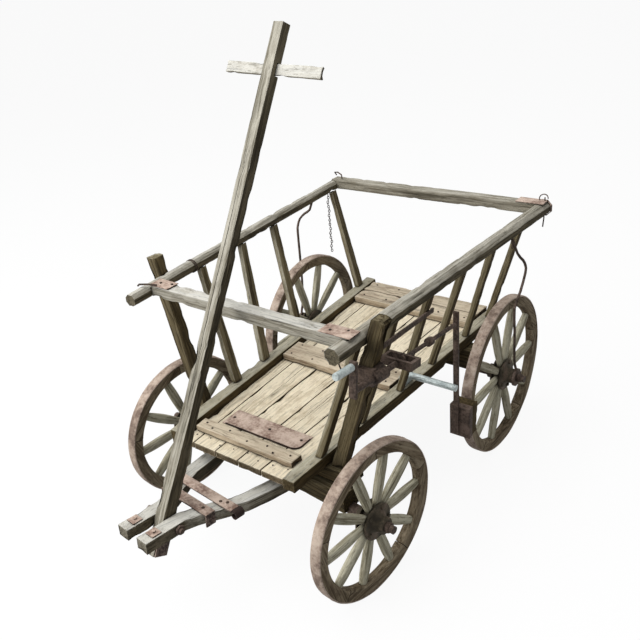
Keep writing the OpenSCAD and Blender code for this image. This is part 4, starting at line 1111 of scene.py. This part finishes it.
def seen(tree, share=1.0, start=0.0):
    """The start, plus the share for rays that show the backdrop: straight from the camera, or
    by way of gloss."""
    path = tree.nodes.new("ShaderNodeLightPath")
    most = tree.nodes.new("ShaderNodeMath")
    most.operation = "MAXIMUM"
    tree.links.new(path.outputs["Is Camera Ray"], most.inputs[0])
    tree.links.new(path.outputs["Is Glossy Ray"], most.inputs[1])
    made = tree.nodes.new("ShaderNodeMath")
    made.operation = "MULTIPLY_ADD"
    tree.links.new(most.outputs[0], made.inputs[0])
    made.inputs[1].default_value = share
    made.inputs[2].default_value = start
    return made.outputs[0]


def floor():
    """A pale floor out to the horizon, white to the camera but for the cart's shadow. It
    sends back less light than it shows."""
    size = 30.0
    mesh = bpy.data.meshes.new("floor")
    mesh.from_pydata([(-size, -size, 0), (size, -size, 0), (size, size, 0), (-size, size, 0)],
                     [], [(0, 1, 2, 3)])
    material = bpy.data.materials.new("floor")
    material.use_nodes = True
    tree = material.node_tree
    tree.nodes.clear()
    diffuse = tree.nodes.new("ShaderNodeBsdfDiffuse")
    glow = tree.nodes.new("ShaderNodeEmission")
    mix = tree.nodes.new("ShaderNodeMixShader")
    out = tree.nodes.new("ShaderNodeOutputMaterial")
    tree.links.new(seen(tree, 0.6, 0.3), diffuse.inputs["Color"])
    tree.links.new(seen(tree, 0.92), mix.inputs[0])
    tree.links.new(diffuse.outputs[0], mix.inputs[1])
    tree.links.new(glow.outputs[0], mix.inputs[2])
    tree.links.new(mix.outputs[0], out.inputs["Surface"])
    mesh.materials.append(material)
    made = bpy.data.objects.new("floor", mesh)
    bpy.context.scene.collection.objects.link(made)


def world():
    """Light from an overcast sky, and white behind the cart."""
    made = bpy.data.worlds.new("world")
    bpy.context.scene.world = made
    made.use_nodes = True
    tree = made.node_tree
    light = tree.nodes["Background"]
    light.inputs["Color"].default_value = (0.98, 0.99, 1.0, 1)
    light.inputs["Strength"].default_value = 0.42
    backdrop = tree.nodes.new("ShaderNodeBackground")
    backdrop.inputs["Color"].default_value = (1, 1, 1, 1)
    mix = tree.nodes.new("ShaderNodeMixShader")
    tree.links.new(seen(tree), mix.inputs[0])
    tree.links.new(light.outputs[0], mix.inputs[1])
    tree.links.new(backdrop.outputs[0], mix.inputs[2])
    tree.links.new(mix.outputs[0], tree.nodes["World Output"].inputs["Surface"])


camera()
world()
floor()
lamp("sky", (-0.9, -0.9, 4.2), 4.5, 170)
lamp("front", (-1.7, -3.5, 1.9), 2.4, 95)
bpy.context.scene.view_settings.view_transform = "Standard"
